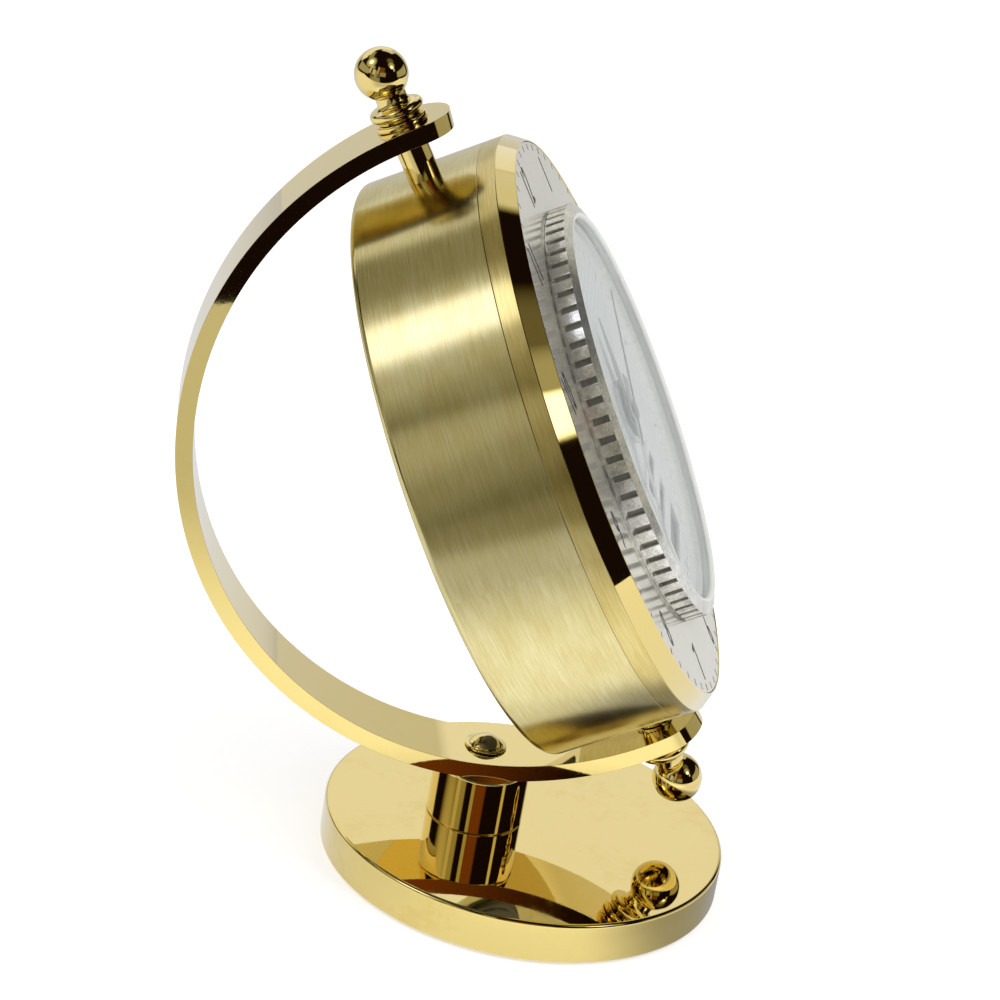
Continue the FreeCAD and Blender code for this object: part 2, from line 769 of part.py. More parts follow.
def build_front_bezel():
    """Front ring with a wide polished bevel and a spigot that fits inside the drum."""
    body = new_body("front_bezel")
    outer, seam = CASE_RADIUS, size("bezel_seam_edge")
    turn(body, [
        (BEZEL_BORE, size("case_front") - size("bezel_spigot")),
        (CASE_INNER - SEAT, size("case_front") - size("bezel_spigot")),
        (CASE_INNER - SEAT, size("case_front")),
        (outer - seam, size("case_front")),
        (outer, size("case_front") + seam),
        (outer, BEZEL_SHOULDER),
        (FACE_RADIUS, BEZEL_FRONT),
        (PLATE_RADIUS + SEAT, BEZEL_FRONT),
        (PLATE_RADIUS + SEAT, PLATE_SEAT),
        (BEZEL_BORE, PLATE_SEAT),
    ])
    return [place(body, *TO_DIAL)]


def build_flat_ring(label, inner, outer, bottom, top, frames=()):
    """Plain flat ring in the dial frame."""
    body = new_body(label)
    turn(body, [(inner, bottom), (outer, bottom), (outer, top), (inner, top)])
    return [place(body, *TO_DIAL, *frames)]


def build_coin_ring():
    """Ring with a coin edge that holds the crystal and passes down through the plate."""
    body = new_body("coin_ring")
    outer = size("ring_radius")
    turn(body, [
        (RING_BORE, MOVEMENT_FRONT),
        (RING_NECK, MOVEMENT_FRONT),
        (RING_NECK, RING_FOOT),
        (outer, RING_FOOT),
        (outer, RING_BAND_TOP),
        (RING_LIP + size("ring_lip_width"), RING_TOP),
        (RING_LIP, RING_TOP),
        (RING_LIP, LIP_SEAT),
        (RING_BORE, LIP_SEAT),
    ])
    gap = new_sketch(body, "ToothGap", "XY_Plane", RING_FOOT)
    half = size("tooth_gap_width") / 2
    draw_box(gap, outer - size("tooth_depth"), outer + size("tooth_depth"), -half, half)
    notch = extrude(body, "Pocket", "Notch", gap, size("ring_band_height"), downwards=True)
    pattern = body.newObject("PartDesign::PolarPattern", "Teeth")
    pattern.Originals = [notch]
    pattern.Axis = (gap, ["N_Axis"])
    pattern.Angle = 360
    pattern.setExpression("Occurrences", "Sizes.ring_teeth")
    body.Tip = pattern
    return [place(body, *TO_DIAL)]


def build_crystal():
    """Low domed lens of even thickness."""
    body = new_body("crystal")
    rise = size("crystal_rise")
    dome = (RING_LIP * RING_LIP + rise * rise) / (rise * 2)
    turn(body, [
        (0, CRYSTAL_SEAT + rise),
        Arc((RING_LIP, CRYSTAL_SEAT), dome, centre_left=False),
        (INSERT_RADIUS, CRYSTAL_SEAT),
        (INSERT_RADIUS, LIP_SEAT),
        (RING_LIP, LIP_SEAT),
        Arc((0, LIP_SEAT + rise), dome, centre_left=True),
    ])
    return [place(body, *TO_DIAL)]


def build_reflector_ring():
    """Sloping ring between the dial and the crystal."""
    body = new_body("reflector_ring")
    turn(body, [
        (DIAL_REACH, DIAL_TOP),
        (INSERT_RADIUS, DIAL_TOP),
        (INSERT_RADIUS, CRYSTAL_SEAT),
        (INSERT_RADIUS - size("reflector_top_width"), CRYSTAL_SEAT),
    ])
    return [place(body, *TO_DIAL)]


def row_edges(name):
    """Returns how far below the dial's middle a row of the calendar starts and ends."""
    inner, outer = RING_EDGES[name]
    return inner + size("row_inner_margin"), outer - size("row_outer_margin")


def build_dial():
    """Thin dial with a centre hole and one opening for the calendar frame."""
    body = new_body("dial")
    disc = new_sketch(body, "Disc", "XY_Plane", DIAL_SEAT)
    draw_circle(disc, INSERT_RADIUS)
    draw_circle(disc, size("boss_radius") + SEAT)
    lap = size("frame_border") / 2
    half = size("window_half_width") + lap
    bottom, top = -(row_edges("month")[1] + lap), lap - row_edges("day")[0]
    draw_box(disc, -half, half, bottom, top)
    extrude(body, "Pad", "Sheet", disc, size("dial_thickness"))
    return [place(body, *TO_DIAL)]


def build_calendar_frame():
    """Frame on the dial with one opening for each calendar ring."""
    body = new_body("calendar_frame")
    border, half = size("frame_border"), size("window_half_width")
    plan = new_sketch(body, "Plan", "XY_Plane", DIAL_TOP)
    bottom, top = -(row_edges("month")[1] + border), border - row_edges("day")[0]
    draw_box(plan, -(half + border), half + border, bottom, top)
    for name in RING_EDGES:
        upper, lower = row_edges(name)
        draw_box(plan, -half, half, -lower, -upper)
    extrude(body, "Pad", "Sheet", plan, size("frame_thickness"))
    return [place(body, *TO_DIAL)]


def build_calendar_plate():
    """Tray behind the dial: its rim and hub carry the dial, its floor the calendar rings."""
    body = new_body("calendar_plate")
    hub = size("boss_radius") + SEAT
    turn(body, [
        (hub, MOVEMENT_FRONT),
        (INSERT_RADIUS, MOVEMENT_FRONT),
        (INSERT_RADIUS, DIAL_SEAT),
        (RIM_INNER, DIAL_SEAT),
        (RIM_INNER, CALENDAR_FLOOR),
        (CALENDAR_HUB, CALENDAR_FLOOR),
        (CALENDAR_HUB, DIAL_SEAT),
        (hub, DIAL_SEAT),
    ])
    return [place(body, *TO_DIAL)]


def build_calendar_rings():
    """Three flat rings, one inside the other, for the day, the date and the month."""
    bottom = CALENDAR_FLOOR + size("end_play")
    top = bottom + size("calendar_ring_thickness")
    rings = []
    for name, (inner, outer) in RING_EDGES.items():
        rings += build_flat_ring(f"{name}_ring", inner, outer, bottom, top)
    return rings


def build_movement_case():
    """Square movement with a threaded boss, a battery bay and bores for arbors and knobs."""
    body = new_body("movement_case")
    plan = new_sketch(body, "Plan", "XY_Plane", MOVEMENT_BACK)
    draw_box(plan, -MOVEMENT_HALF, MOVEMENT_HALF, -MOVEMENT_HALF, MOVEMENT_HALF)
    extrude(body, "Pad", "Block", plan, size("movement_depth"))
    DOC.recompute()
    upright = []
    for index, edge in enumerate(body.Shape.Edges, start=1):
        if abs(edge.tangentAt(edge.FirstParameter).z) > 1 - TINY:
            upright.append(f"Edge{index}")
    round_edges(body, "Corners", upright, size("movement_corner"))
    neck = new_sketch(body, "Boss", "XY_Plane", MOVEMENT_FRONT)
    draw_circle(neck, size("boss_radius"))
    extrude(body, "Pad", "BossPad", neck, BOSS_TOP - MOVEMENT_FRONT)
    bore = new_sketch(body, "HourBore", "XY_Plane", BOSS_TOP)
    draw_circle(bore, size("hour_tube_radius") + RUN)
    extrude(body, "Pocket", "HourPocket", bore, size("hand_tube_depth") + size("hour_level"))
    for name, radius, across, up in (
        ("SetBore", size("set_knob_stem_radius"), 0, 0),
        ("DateBore", size("date_knob_stem_radius"), size("date_knob_across"), size("date_knob_up")),
    ):
        hole = new_sketch(body, name, "XY_Plane", MOVEMENT_BACK)
        draw_circle(hole, radius + RUN, across, up)
        extrude(body, "Pocket", name + "Pocket", hole, size("knob_stem_bite") + size("end_play"),
                downwards=True)
    bay = new_sketch(body, "BatteryBay", "XY_Plane", MOVEMENT_BACK)
    drop = size("battery_drop")
    draw_box(bay, -BAY_REACH, BAY_REACH, -(drop + BAY_ROOM), BAY_ROOM - drop)
    extrude(body, "Pocket", "BayPocket", bay, size("battery_inset") + BAY_ROOM * 2, downwards=True)
    return [place(body, *TO_DIAL)]


def build_battery():
    """Round cell with its positive tip towards +X."""
    body = new_body("battery")
    shoulder = BATTERY_HALF - size("battery_tip_length")
    turn(body, [
        (0, -BATTERY_HALF),
        (size("battery_radius"), -BATTERY_HALF),
        (size("battery_radius"), shoulder),
        (size("battery_tip_radius"), shoulder),
        (size("battery_tip_radius"), BATTERY_HALF),
        (0, BATTERY_HALF),
    ])
    return [place(body, *TO_DIAL, battery_frame())]


def battery_frame():
    """Returns the frame of the battery's middle, with Z along the battery."""
    depth = MOVEMENT_BACK + size("battery_inset") + BAY_ROOM
    return frame_text(back=-size("battery_drop"), up=depth, axis="0; 1; 0", angle=90)


def build_contacts():
    """Two contact plates at the ends of the bay, each with a bump that meets the battery."""
    contacts = []
    half = size("contact_side") / 2
    bump = size("battery_end_room") - size("contact_thickness") - SEAT
    for label, angle in (("positive_contact", 0), ("negative_contact", 180)):
        body = new_body(label)
        sheet = new_sketch(body, "Sheet", "XY_Plane", BAY_REACH - size("contact_thickness"))
        draw_box(sheet, -half, half, -half, half)
        extrude(body, "Pad", "Plate", sheet, size("contact_thickness"))
        touch = new_sketch(body, "Touch", "XY_Plane", BAY_REACH - size("contact_thickness"))
        draw_circle(touch, size("battery_tip_radius"))
        extrude(body, "Pad", "Bump", touch, bump, downwards=True)
        end = frame_text(axis="1; 0; 0", angle=angle)
        contacts.append(place(body, *TO_DIAL, battery_frame(), end))
    return contacts


def build_boss_nut():
    """Thin round nut that clamps the dial to the movement's boss."""
    top = DIAL_TOP + size("boss_nut_thickness")
    outer = size("boss_radius") + size("boss_nut_width")
    return build_flat_ring("boss_nut", size("boss_radius") + THREAD, outer, DIAL_TOP, top)


def build_rear_cover():
    """Round cover inside the drum's lip, open for the battery door, the knobs and the screws."""
    body = new_body("rear_cover")
    disc = new_sketch(body, "Disc", "XY_Plane", COVER_BACK)
    draw_circle(disc, CASE_INNER - SEAT)
    gap = size("opening_gap")
    draw_circle(disc, size("set_knob_radius") + gap * 2)
    draw_circle(disc, size("date_knob_radius") + gap * 2, size("date_knob_across"), size("date_knob_up"))
    reach, wide = DOOR_HALF + gap, DOOR_WIDE + gap
    middle = -size("battery_drop")
    draw_box(disc, -reach, reach, middle - wide, middle + wide)
    extrude(body, "Pad", "Sheet", disc, size("cover_thickness"))
    for index, angle in enumerate(STANDOFF_ANGLES, start=1):
        hole = new_sketch(body, f"ScrewHole{index}", "XY_Plane", COVER_BACK)
        across, up = on_circle(STANDOFF_CIRCLE, angle)
        draw_circle(hole, size("cover_screw_radius") + THREAD, across, up)
        extrude(body, "Pocket", f"ScrewBore{index}", hole, size("cover_thickness"), downwards=True)
    hinge = new_sketch(body, "PinSockets", "YZ_Plane")
    draw_circle(hinge, size("door_pin_radius") + RUN, DOOR_AXIS_UP, DOOR_AXIS_LEVEL)
    socket = (reach + size("door_pin_length")) * 2
    extrude(body, "Pocket", "PinBores", hinge, socket, both_ways=True)
    return [place(body, *TO_DIAL)]


def on_circle(radius, angle):
    """Returns the point of a circle at an angle in degrees."""
    across = radius * round(math.cos(math.radians(angle)), 9)
    up = radius * round(math.sin(math.radians(angle)), 9)
    return across, up


def build_battery_door():
    """Flat door with a round lower edge, two hinge pins and a thumb notch."""
    body = new_body("battery_door")
    thick, top = size("door_thickness"), DOOR_WIDE - size("battery_drop")
    leaf = new_sketch(body, "Leaf", "YZ_Plane")
    draw_box(leaf, DOOR_AXIS_UP, top, COVER_BACK, COVER_BACK + thick)
    extrude(body, "Pad", "LeafPad", leaf, DOOR_HALF * 2, both_ways=True)
    edge = new_sketch(body, "Edge", "YZ_Plane")
    draw_circle(edge, thick / 2, DOOR_AXIS_UP, DOOR_AXIS_LEVEL)
    extrude(body, "Pad", "EdgePad", edge, DOOR_HALF * 2, both_ways=True)
    pin = new_sketch(body, "Pin", "YZ_Plane")
    draw_circle(pin, size("door_pin_radius"), DOOR_AXIS_UP, DOOR_AXIS_LEVEL)
    reach = (DOOR_HALF + size("opening_gap") + size("door_pin_length") - size("end_play")) * 2
    extrude(body, "Pad", "PinPad", pin, reach, both_ways=True)
    notch = new_sketch(body, "Notch", "XY_Plane", COVER_BACK)
    draw_circle(notch, size("door_notch_radius"), 0, top + size("door_notch_radius") / 2)
    extrude(body, "Pocket", "NotchPocket", notch, thick, downwards=True)
    return [place(body, *TO_DIAL)]


def build_standoffs():
    """Three pillars between the rear cover and the carrier ring."""
    pillars = []
    for index, angle in enumerate(STANDOFF_ANGLES, start=1):
        body = new_body(f"standoff_{index}")
        radius = size("standoff_radius")
        bore = size("cover_screw_radius") + THREAD
        deep = COVER_FRONT + size("cover_screw_bite") + THREAD
        turn(body, [
            (bore, COVER_FRONT),
            (radius, COVER_FRONT),
            (radius, CARRIER_BACK),
            (0, CARRIER_BACK),
            (0, deep),
            (bore, deep),
        ])
        across, up = on_circle(STANDOFF_CIRCLE, angle)
        pillars.append(place(body, *TO_DIAL, frame_text(across=across, back=up)))
    return pillars


def build_cover_screws():
    """Three pan-head screws that hold the rear cover to its pillars."""
    screws = []
    head_back = COVER_BACK - size("cover_screw_head_height")
    for index, angle in enumerate(STANDOFF_ANGLES, start=1):
        body = new_body(f"cover_screw_{index}")
        turn(body, [
            (0, head_back),
            (size("cover_screw_head_radius"), head_back),
            (size("cover_screw_head_radius"), COVER_BACK),
            (size("cover_screw_radius"), COVER_BACK),
            (size("cover_screw_radius"), COVER_FRONT + size("cover_screw_bite")),
            (0, COVER_FRONT + size("cover_screw_bite")),
        ])
        across, up = on_circle(STANDOFF_CIRCLE, angle)
        screws.append(place(body, *TO_DIAL, frame_text(across=across, back=up)))
    group = DOC.addObject("Part::Compound", "CoverScrews")
    group.Label = "cover_screws"
    group.Links = screws
    return [group]


def build_knob(label, radius, height, stem, across, up):
    """Round knob in a hole of the rear cover, with a stem into the movement."""
    body = new_body(label)
    back = COVER_BACK - size("knob_lift")
    front = back + height
    end = MOVEMENT_BACK + size("knob_stem_bite")
    edge = size("knob_edge")
    turn(body, [
        (0, back),
        (radius - edge, back),
        (radius, back + edge),
        (radius, front),
        (stem, front),
        (stem, end),
        (0, end),
    ])
    return [place(body, *TO_DIAL, frame_text(across=across, back=up))]


def build_hand(label, length, width, level, bore, tube, angle, tail=0):
    """Hand with a lozenge blade, a round hub and a tube or arbor down into the movement."""
    body = new_body(label)
    bottom = DIAL_TOP + level
    top = bottom + size("hand_thickness")
    end = BOSS_TOP - size("hand_tube_depth")
    hub = tube + size("hand_hub_width")
    turn(body, [
        (bore, end),
        (tube, end),
        (tube, bottom),
        (hub, bottom),
        (hub, top),
        (bore, top),
    ])
    blade = new_sketch(body, "Blade", "XY_Plane", bottom)
    start, half = tube + size("hand_hub_width") / 2, width / 2
    draw_outline(blade, [
        (-half / 2, start),
        (half / 2, start),
        (half, start + size("hand_shoulder")),
        (0, length),
        (-half, start + size("hand_shoulder")),
    ])
    extrude(body, "Pad", "BladePad", blade, size("hand_thickness"))
    if tail:
        back = new_sketch(body, "Tail", "XY_Plane", bottom)
        draw_box(back, -half, half, -tail, -start)
        extrude(body, "Pad", "TailPad", back, size("hand_thickness"))
    return [place(body, *TO_DIAL, frame_text(angle=-angle))]


def build_hands():
    """Hour, minute and second hands, one arbor inside the other."""
    hands = build_hand(
        "hour_hand", size("hour_length"), size("hour_width"), size("hour_level"),
        size("minute_tube_radius") + RUN, size("hour_tube_radius"), size("hour_angle"),
    )
    hands += build_hand(
        "minute_hand", DIAL_REACH - size("minute_end_gap"), size("minute_width"),
        size("minute_level"),
        size("second_arbor_radius") + RUN, size("minute_tube_radius"), size("minute_angle"),
        size("minute_tail"),
    )
    hands += build_hand(
        "second_hand", DIAL_REACH - size("second_end_gap"), size("second_width"),
        size("second_level"),
        as_size(0), size("second_arbor_radius"), size("second_angle"), size("second_tail"),
    )
    return hands


def build_all():
    """Builds every sub-part of the clock and returns the finished objects."""
    top, bottom = (), (DOWNWARDS,)
    parts = build_base_plate() + build_felt_pad() + build_column() + build_base_screw()
    parts += build_arm() + build_arm_screw()
    for end, side in (("top", top), ("bottom", bottom)):
        parts += build_bushing(f"{end}_bushing", side)
        parts += build_thrust_washer(f"{end}_thrust_washer", side)
        parts += build_pivot_post(f"{end}_pivot_post", side)
        parts += build_pivot_nut(f"{end}_pivot_nut", side)
        parts += build_finial(f"{end}_finial", side)
    parts += build_case_shell() + build_front_bezel()
    parts += build_flat_ring("chapter_plate", PLATE_HOLE, PLATE_RADIUS, PLATE_SEAT, PLATE_TOP)
    parts += build_flat_ring("carrier_ring", PLATE_HOLE, BEZEL_BORE - SEAT, CARRIER_BACK, PLATE_SEAT)
    parts += build_flat_ring("clamp_ring", PLATE_HOLE, PLATE_HOLE + size("clamp_ring_width"),
                             MOVEMENT_FRONT, CARRIER_BACK)
    parts += build_coin_ring() + build_crystal() + build_reflector_ring()
    parts += build_dial() + build_calendar_frame() + build_calendar_plate()
    parts += build_calendar_rings() + build_movement_case() + build_boss_nut()
    parts += build_battery() + build_contacts()
    parts += build_rear_cover() + build_battery_door() + build_standoffs() + build_cover_screws()
    parts += build_knob("set_knob", size("set_knob_radius"), size("set_knob_height"),
                        size("set_knob_stem_radius"), 0, 0)
    parts += build_knob("date_knob", size("date_knob_radius"), size("date_knob_height"),
                        size("date_knob_stem_radius"), size("date_knob_across"), size("date_knob_up"))
    parts += build_hands()
    return parts


def check(parts):
    """Stops the build when an object has failed or a sub-part has no sound shape."""
    for item in DOC.Objects:
        if "Invalid" in item.State or "Error" in item.State:
            raise RuntimeError(f"{item.Label} could not be computed")
    for part in parts:
        if part.Shape.isNull() or not part.Shape.isValid() or not part.Shape.Solids:
            raise RuntimeError(f"{part.Label} has no valid solid")


def export(parts):
    """Writes each sub-part to a STEP file of its own."""
    os.makedirs("parts", exist_ok=True)
    for part in parts:
        part.Shape.exportStep(f"parts/{part.Label}.step")


PARTS = build_all()
DOC.recompute()
check(PARTS)
export(PARTS)
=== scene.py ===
"""Looks of a swivel desk clock with a calendar: meshes, finishes, studio and camera."""
import logging
import math
from dataclasses import dataclass
from enum import Enum
from typing import Callable, Iterable, Optional, Sequence, Union

import bmesh
import bpy
from mathutils import Matrix, Vector


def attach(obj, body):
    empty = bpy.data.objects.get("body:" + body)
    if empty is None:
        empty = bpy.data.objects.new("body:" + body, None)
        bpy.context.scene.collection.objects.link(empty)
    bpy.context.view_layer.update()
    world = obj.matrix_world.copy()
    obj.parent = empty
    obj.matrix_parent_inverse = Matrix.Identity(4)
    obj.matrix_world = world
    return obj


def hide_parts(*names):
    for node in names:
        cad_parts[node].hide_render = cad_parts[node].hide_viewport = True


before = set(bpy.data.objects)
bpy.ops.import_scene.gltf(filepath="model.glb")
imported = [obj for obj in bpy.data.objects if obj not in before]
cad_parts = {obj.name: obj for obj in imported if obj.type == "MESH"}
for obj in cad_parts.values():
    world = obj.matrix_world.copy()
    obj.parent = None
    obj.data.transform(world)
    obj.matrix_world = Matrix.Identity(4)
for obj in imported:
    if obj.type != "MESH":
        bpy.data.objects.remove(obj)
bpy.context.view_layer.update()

Point = tuple[float, float]
Triple = tuple[float, float, float]
Number = Union["Signal", float]
Tint = Union["Signal", Triple]

LOG = logging.getLogger("desk_clock")
MATERIALS: dict[str, bpy.types.Material] = {}
FULL_TURN = math.tau
MINUTES = 60
SHARP = 35.0  # edges that turn by more degrees are shaded sharp
MM = 0.001
PIVOT_PLACE = (0.0, 0.0077, 0.06175)  # middle of the drum, in metres
COLUMN_PLACE = (0.0, 0.0072, 0.0)  # middle of the column's foot, in metres
ARM_LEAN = -30.75  # degrees from upright to the swivel axis
DRUM_TURN = -8.15  # degrees that the drum is swivelled by
SEAT_GAP = 0.05  # play between pieces, in millimetres
FINE_EDGE = 0.08  # rounding of thin edges, in millimetres
PRINT = 0.03  # thickness of printed marks, in millimetres
NEAR = 0.1  # how near a height an edge lies to be picked, in millimetres


class Frame(Enum):
    """Frames that the pieces are modelled in, each a matrix from millimetres to the clock."""

    BASE = Matrix.Scale(MM, 4)
    COLUMN = Matrix.Translation(COLUMN_PLACE) @ Matrix.Scale(MM, 4)
    PIVOT = (
        Matrix.Translation(PIVOT_PLACE)
        @ Matrix.Rotation(math.radians(ARM_LEAN), 4, "X")
        @ Matrix.Scale(MM, 4)
    )
    PIVOT_DOWN = PIVOT @ Matrix.Rotation(math.pi, 4, "X")
    DIAL = (
        PIVOT
        @ Matrix.Rotation(math.radians(DRUM_TURN), 4, "Z")
        @ Matrix.Rotation(math.pi / 2, 4, "X")
    )

    def turn(self) -> Triple:
        """Rotation of the frame's own axes, for patterns that follow them."""
        return tuple(self.value.to_euler("XYZ"))


class End(Enum):
    """Ends of the swivel axis, each with the frame that points out along it."""

    TOP = Frame.PIVOT
    BOTTOM = Frame.PIVOT_DOWN

    def part(self, name: str) -> str:
        """Name of a part at this end."""
        return f"{self.name.lower()}_{name}"


class Body(Enum):
    """Moving bodies that the pieces ride on."""

    STAND = "stand"
    DRUM = "drum"
    DATE_WHEEL = "date_wheel"
    TIME_SETTING = "time_setting"
    DATE_SETTING = "date_setting"
    BATTERY_LID = "battery_lid"


# --------------------------------------------------------------------------------------
# Shader graph


class Signal:
    """A number in a shader graph, which takes ordinary arithmetic."""

    def __init__(self, graph: "Graph", socket: Optional[bpy.types.NodeSocket]) -> None:
        """Wraps a socket of a graph."""
        self.graph = graph
        self.socket = socket

    def _maths(self, operation: str, *values: Number) -> "Signal":
        """Result of a new Math node, from its operation and values."""
        sockets = dict(enumerate(values))
        return self.graph.add("ShaderNodeMath", {"operation": operation}, sockets)

    def __add__(self, other: Number) -> "Signal":
        """Sum."""
        return self._maths("ADD", self, other)

    def __radd__(self, other: float) -> "Signal":
        """Sum with the number first."""
        return self._maths("ADD", other, self)

    def __sub__(self, other: Number) -> "Signal":
        """Difference."""
        return self._maths("SUBTRACT", self, other)

    def __rsub__(self, other: float) -> "Signal":
        """Difference with the number first."""
        return self._maths("SUBTRACT", other, self)

    def __mul__(self, other: Number) -> "Signal":
        """Product."""
        return self._maths("MULTIPLY", self, other)

    def __rmul__(self, other: float) -> "Signal":
        """Product with the number first."""
        return self._maths("MULTIPLY", other, self)

    def __truediv__(self, other: Number) -> "Signal":
        """Quotient."""
        return self._maths("DIVIDE", self, other)

    def __pow__(self, other: float) -> "Signal":
        """Power."""
        return self._maths("POWER", self, other)

    def largest(self, other: Number) -> "Signal":
        """The larger of two numbers."""
        return self._maths("MAXIMUM", self, other)

    def size(self) -> "Signal":
        """The number without its sign."""
        return self._maths("ABSOLUTE", self)

    def sine(self) -> "Signal":
        """Sine of the number."""
        return self._maths("SINE", self)

    def angle_from(self, other: "Signal") -> "Signal":
        """Angle of the point (other, self) around the origin."""
        return self._maths("ARCTAN2", self, other)

    def rise(self, low: float, high: float) -> "Signal":
        """Smooth step.

        Args:
            low: number at which the result is 0.
            high: number at which it is 1, which may be the smaller one.

        Returns:
            The step, held at 0 and 1 outside its ends.
        """
        settings = {"interpolation_type": "SMOOTHSTEP"}
        sockets = {"Value": self, "From Min": low, "From Max": high}
        return self.graph.add("ShaderNodeMapRange", settings, sockets)


class Graph:
    """Nodes of one material or world."""

    def __init__(self, tree: bpy.types.NodeTree) -> None:
        """Empties the tree."""
        self.tree = tree
        tree.nodes.clear()

    def add(
        self, kind: str, settings: Optional[dict] = None, sockets: Optional[dict] = None,
        out: Union[int, str] = 0,
    ) -> Signal:
        """Adds a node.

        Args:
            kind: node type.
            settings: its properties, set first.
            sockets: input name or number to a signal or constant.
            out: output that is returned.

        Returns:
            The chosen output as a signal.
        """
        node = self.tree.nodes.new(kind)
        for name, value in (settings or {}).items():
            setattr(node, name, value)
        for name, value in (sockets or {}).items():
            socket = node.inputs[name]
            if isinstance(value, Signal):
                self.tree.links.new(value.socket, socket)
            elif socket.type == "RGBA":
                socket.default_value = (*value, 1.0)
            else:
                socket.default_value = value
        return Signal(self, node.outputs[out] if len(node.outputs) else None)

    def close(self, output: str, shader: str, sockets: dict) -> None:
        """Ends the tree with a shader and the output node that it feeds."""
        self.add(output, None, {"Surface": self.add(shader, None, sockets)})

    def vector(self, operation: str, first: Signal, second: Sequence[float],
               out: Union[int, str] = 0) -> Signal:
        """Result of a new Vector Math node, from its operation and vectors."""
        settings = {"operation": operation}
        return self.add("ShaderNodeVectorMath", settings, {0: first, 1: tuple(second)}, out)

    def place(self, scale: Triple = (1.0, 1.0, 1.0)) -> Signal:
        """Object coordinates in millimetres, times a scale along each axis."""
        point = self.add("ShaderNodeTexCoord", out="Object")
        return self.vector("MULTIPLY", point, [value / MM for value in scale])

    def dial_place(self) -> Signal:
        """Object coordinates along the dial's own axes.

        Returns:
            Millimetres from the middle of the drum.
        """
        point = self.add("ShaderNodeTexCoord", out="Object")
        settings = {"rotation_type": "EULER_XYZ", "invert": True}
        turned = self.add("ShaderNodeVectorRotate", settings, {
            "Vector": self.vector("SUBTRACT", point, PIVOT_PLACE),
            "Rotation": Frame.DIAL.turn(),
        })
        return self.vector("MULTIPLY", turned, [1.0 / MM] * 3)

    def split(self, vector: Signal) -> tuple[Signal, Signal, Signal]:
        """The three parts of a vector."""
        parts = self.add("ShaderNodeSeparateXYZ", sockets={0: vector}).socket.node.outputs
        return tuple(Signal(self, socket) for socket in parts)

    def join(self, x: Number, y: Number, z: Number) -> Signal:
        """A vector of three parts."""
        return self.add("ShaderNodeCombineXYZ", sockets={0: x, 1: y, 2: z})

    def along(self, vector: Signal, direction: Sequence[float]) -> Signal:
        """How far a vector goes in a direction."""
        return self.vector("DOT_PRODUCT", vector, direction, out="Value")

    def rays(self) -> tuple[Signal, Signal, Signal]:
        """What a ray comes from.

        Returns:
            1 or 0 each for the camera, for a glossy surface and for a way through glass.
        """
        kinds = self.add("ShaderNodeLightPath").socket.node.outputs
        names = ("Is Camera Ray", "Is Glossy Ray", "Is Transmission Ray")
        return tuple(Signal(self, kinds[name]) for name in names)

    def noise(self, vector: Signal, scale: float, detail: float = 3.0,
              rough: float = 0.5) -> Signal:
        """Noise.

        Args:
            vector: coordinates.
            scale: features per unit.
            detail: octaves.
            rough: strength of the finer octaves.

        Returns:
            A number round 0.5.
        """
        sockets = {"Vector": vector, "Scale": scale, "Detail": detail, "Roughness": rough}
        return self.add("ShaderNodeTexNoise", None, sockets)

    def blend(self, share: Number, first: Tint, second: Tint) -> Signal:
        """Colour between two colours."""
        settings = {"data_type": "RGBA"}
        return self.add("ShaderNodeMix", settings, {0: share, 6: first, 7: second}, out=2)

    def bump(self, height: Signal, depth: float, strength: float) -> Signal:
        """Surface relief.

        Args:
            height: pattern from 0 to 1.
            depth: height of the relief in millimetres.
            strength: share of the effect.

        Returns:
            The normal.
        """
        sockets = {"Height": height, "Distance": depth * MM, "Strength": strength}
        return self.add("ShaderNodeBump", None, sockets)


# --------------------------------------------------------------------------------------
# Finishes


@dataclass(frozen=True)
class Finish:
    """A surface finish. Each kind of surface paints its own graph."""

    name: str
    slot: str

    def paint(self, graph: Graph) -> dict:
        """Builds the pattern nodes.

        Args:
            graph: graph of the material.

        Returns:
            Sockets of the Principled shader.
        """
        raise NotImplementedError

    def material(self) -> bpy.types.Material:
        """Material of this finish, made once.

        Returns:
            The material.
        """
        if self.name not in MATERIALS:
            made = bpy.data.materials.new(f"finish_{self.name}")
            made.use_nodes = True
            graph = Graph(made.node_tree)
            graph.close("ShaderNodeOutputMaterial", "ShaderNodeBsdfPrincipled",
                        self.paint(graph))
            MATERIALS[self.name] = made
        return MATERIALS[self.name]


@dataclass(frozen=True)
class PolishedBrass(Finish):
    """Lacquered mirror brass with faint smudges and hairlines."""

    name: str = "polished_brass"
    slot: str = "polished_brass"
    bright: Triple = (0.82, 0.65, 0.21)
    deep: Triple = (0.77, 0.58, 0.15)
    smudge: float = 0.3
    roughness: float = 0.025
    hairlines: Triple = (9.0, 0.8, 2.0)

    def paint(self, graph: Graph) -> dict:
        """Smudges change tint and gloss; hairlines run at random.

        Args:
            graph: graph of the material.

        Returns:
            Sockets of the Principled shader.
        """
        point = graph.place()
        patch = graph.noise(point, 0.11, 4.0, 0.62)
        fine = graph.noise(point, 0.9, 5.0, 0.7)
        mark = (patch * 0.7 + fine * 0.3).rise(0.52, 0.66) * self.smudge
        hair = graph.noise(graph.place(self.hairlines), 1.0, 2.0).rise(0.6, 0.72)
        return {
            "Base Color": graph.blend(mark, self.bright, self.deep),
            "Metallic": 1.0,
            "Roughness": self.roughness + mark * 0.08 + hair * 0.015,
            "Coat Weight": 1.0,
            "Coat IOR": 1.6,
            "Normal": graph.bump(patch + fine * 0.12, 0.012, 0.5),
        }


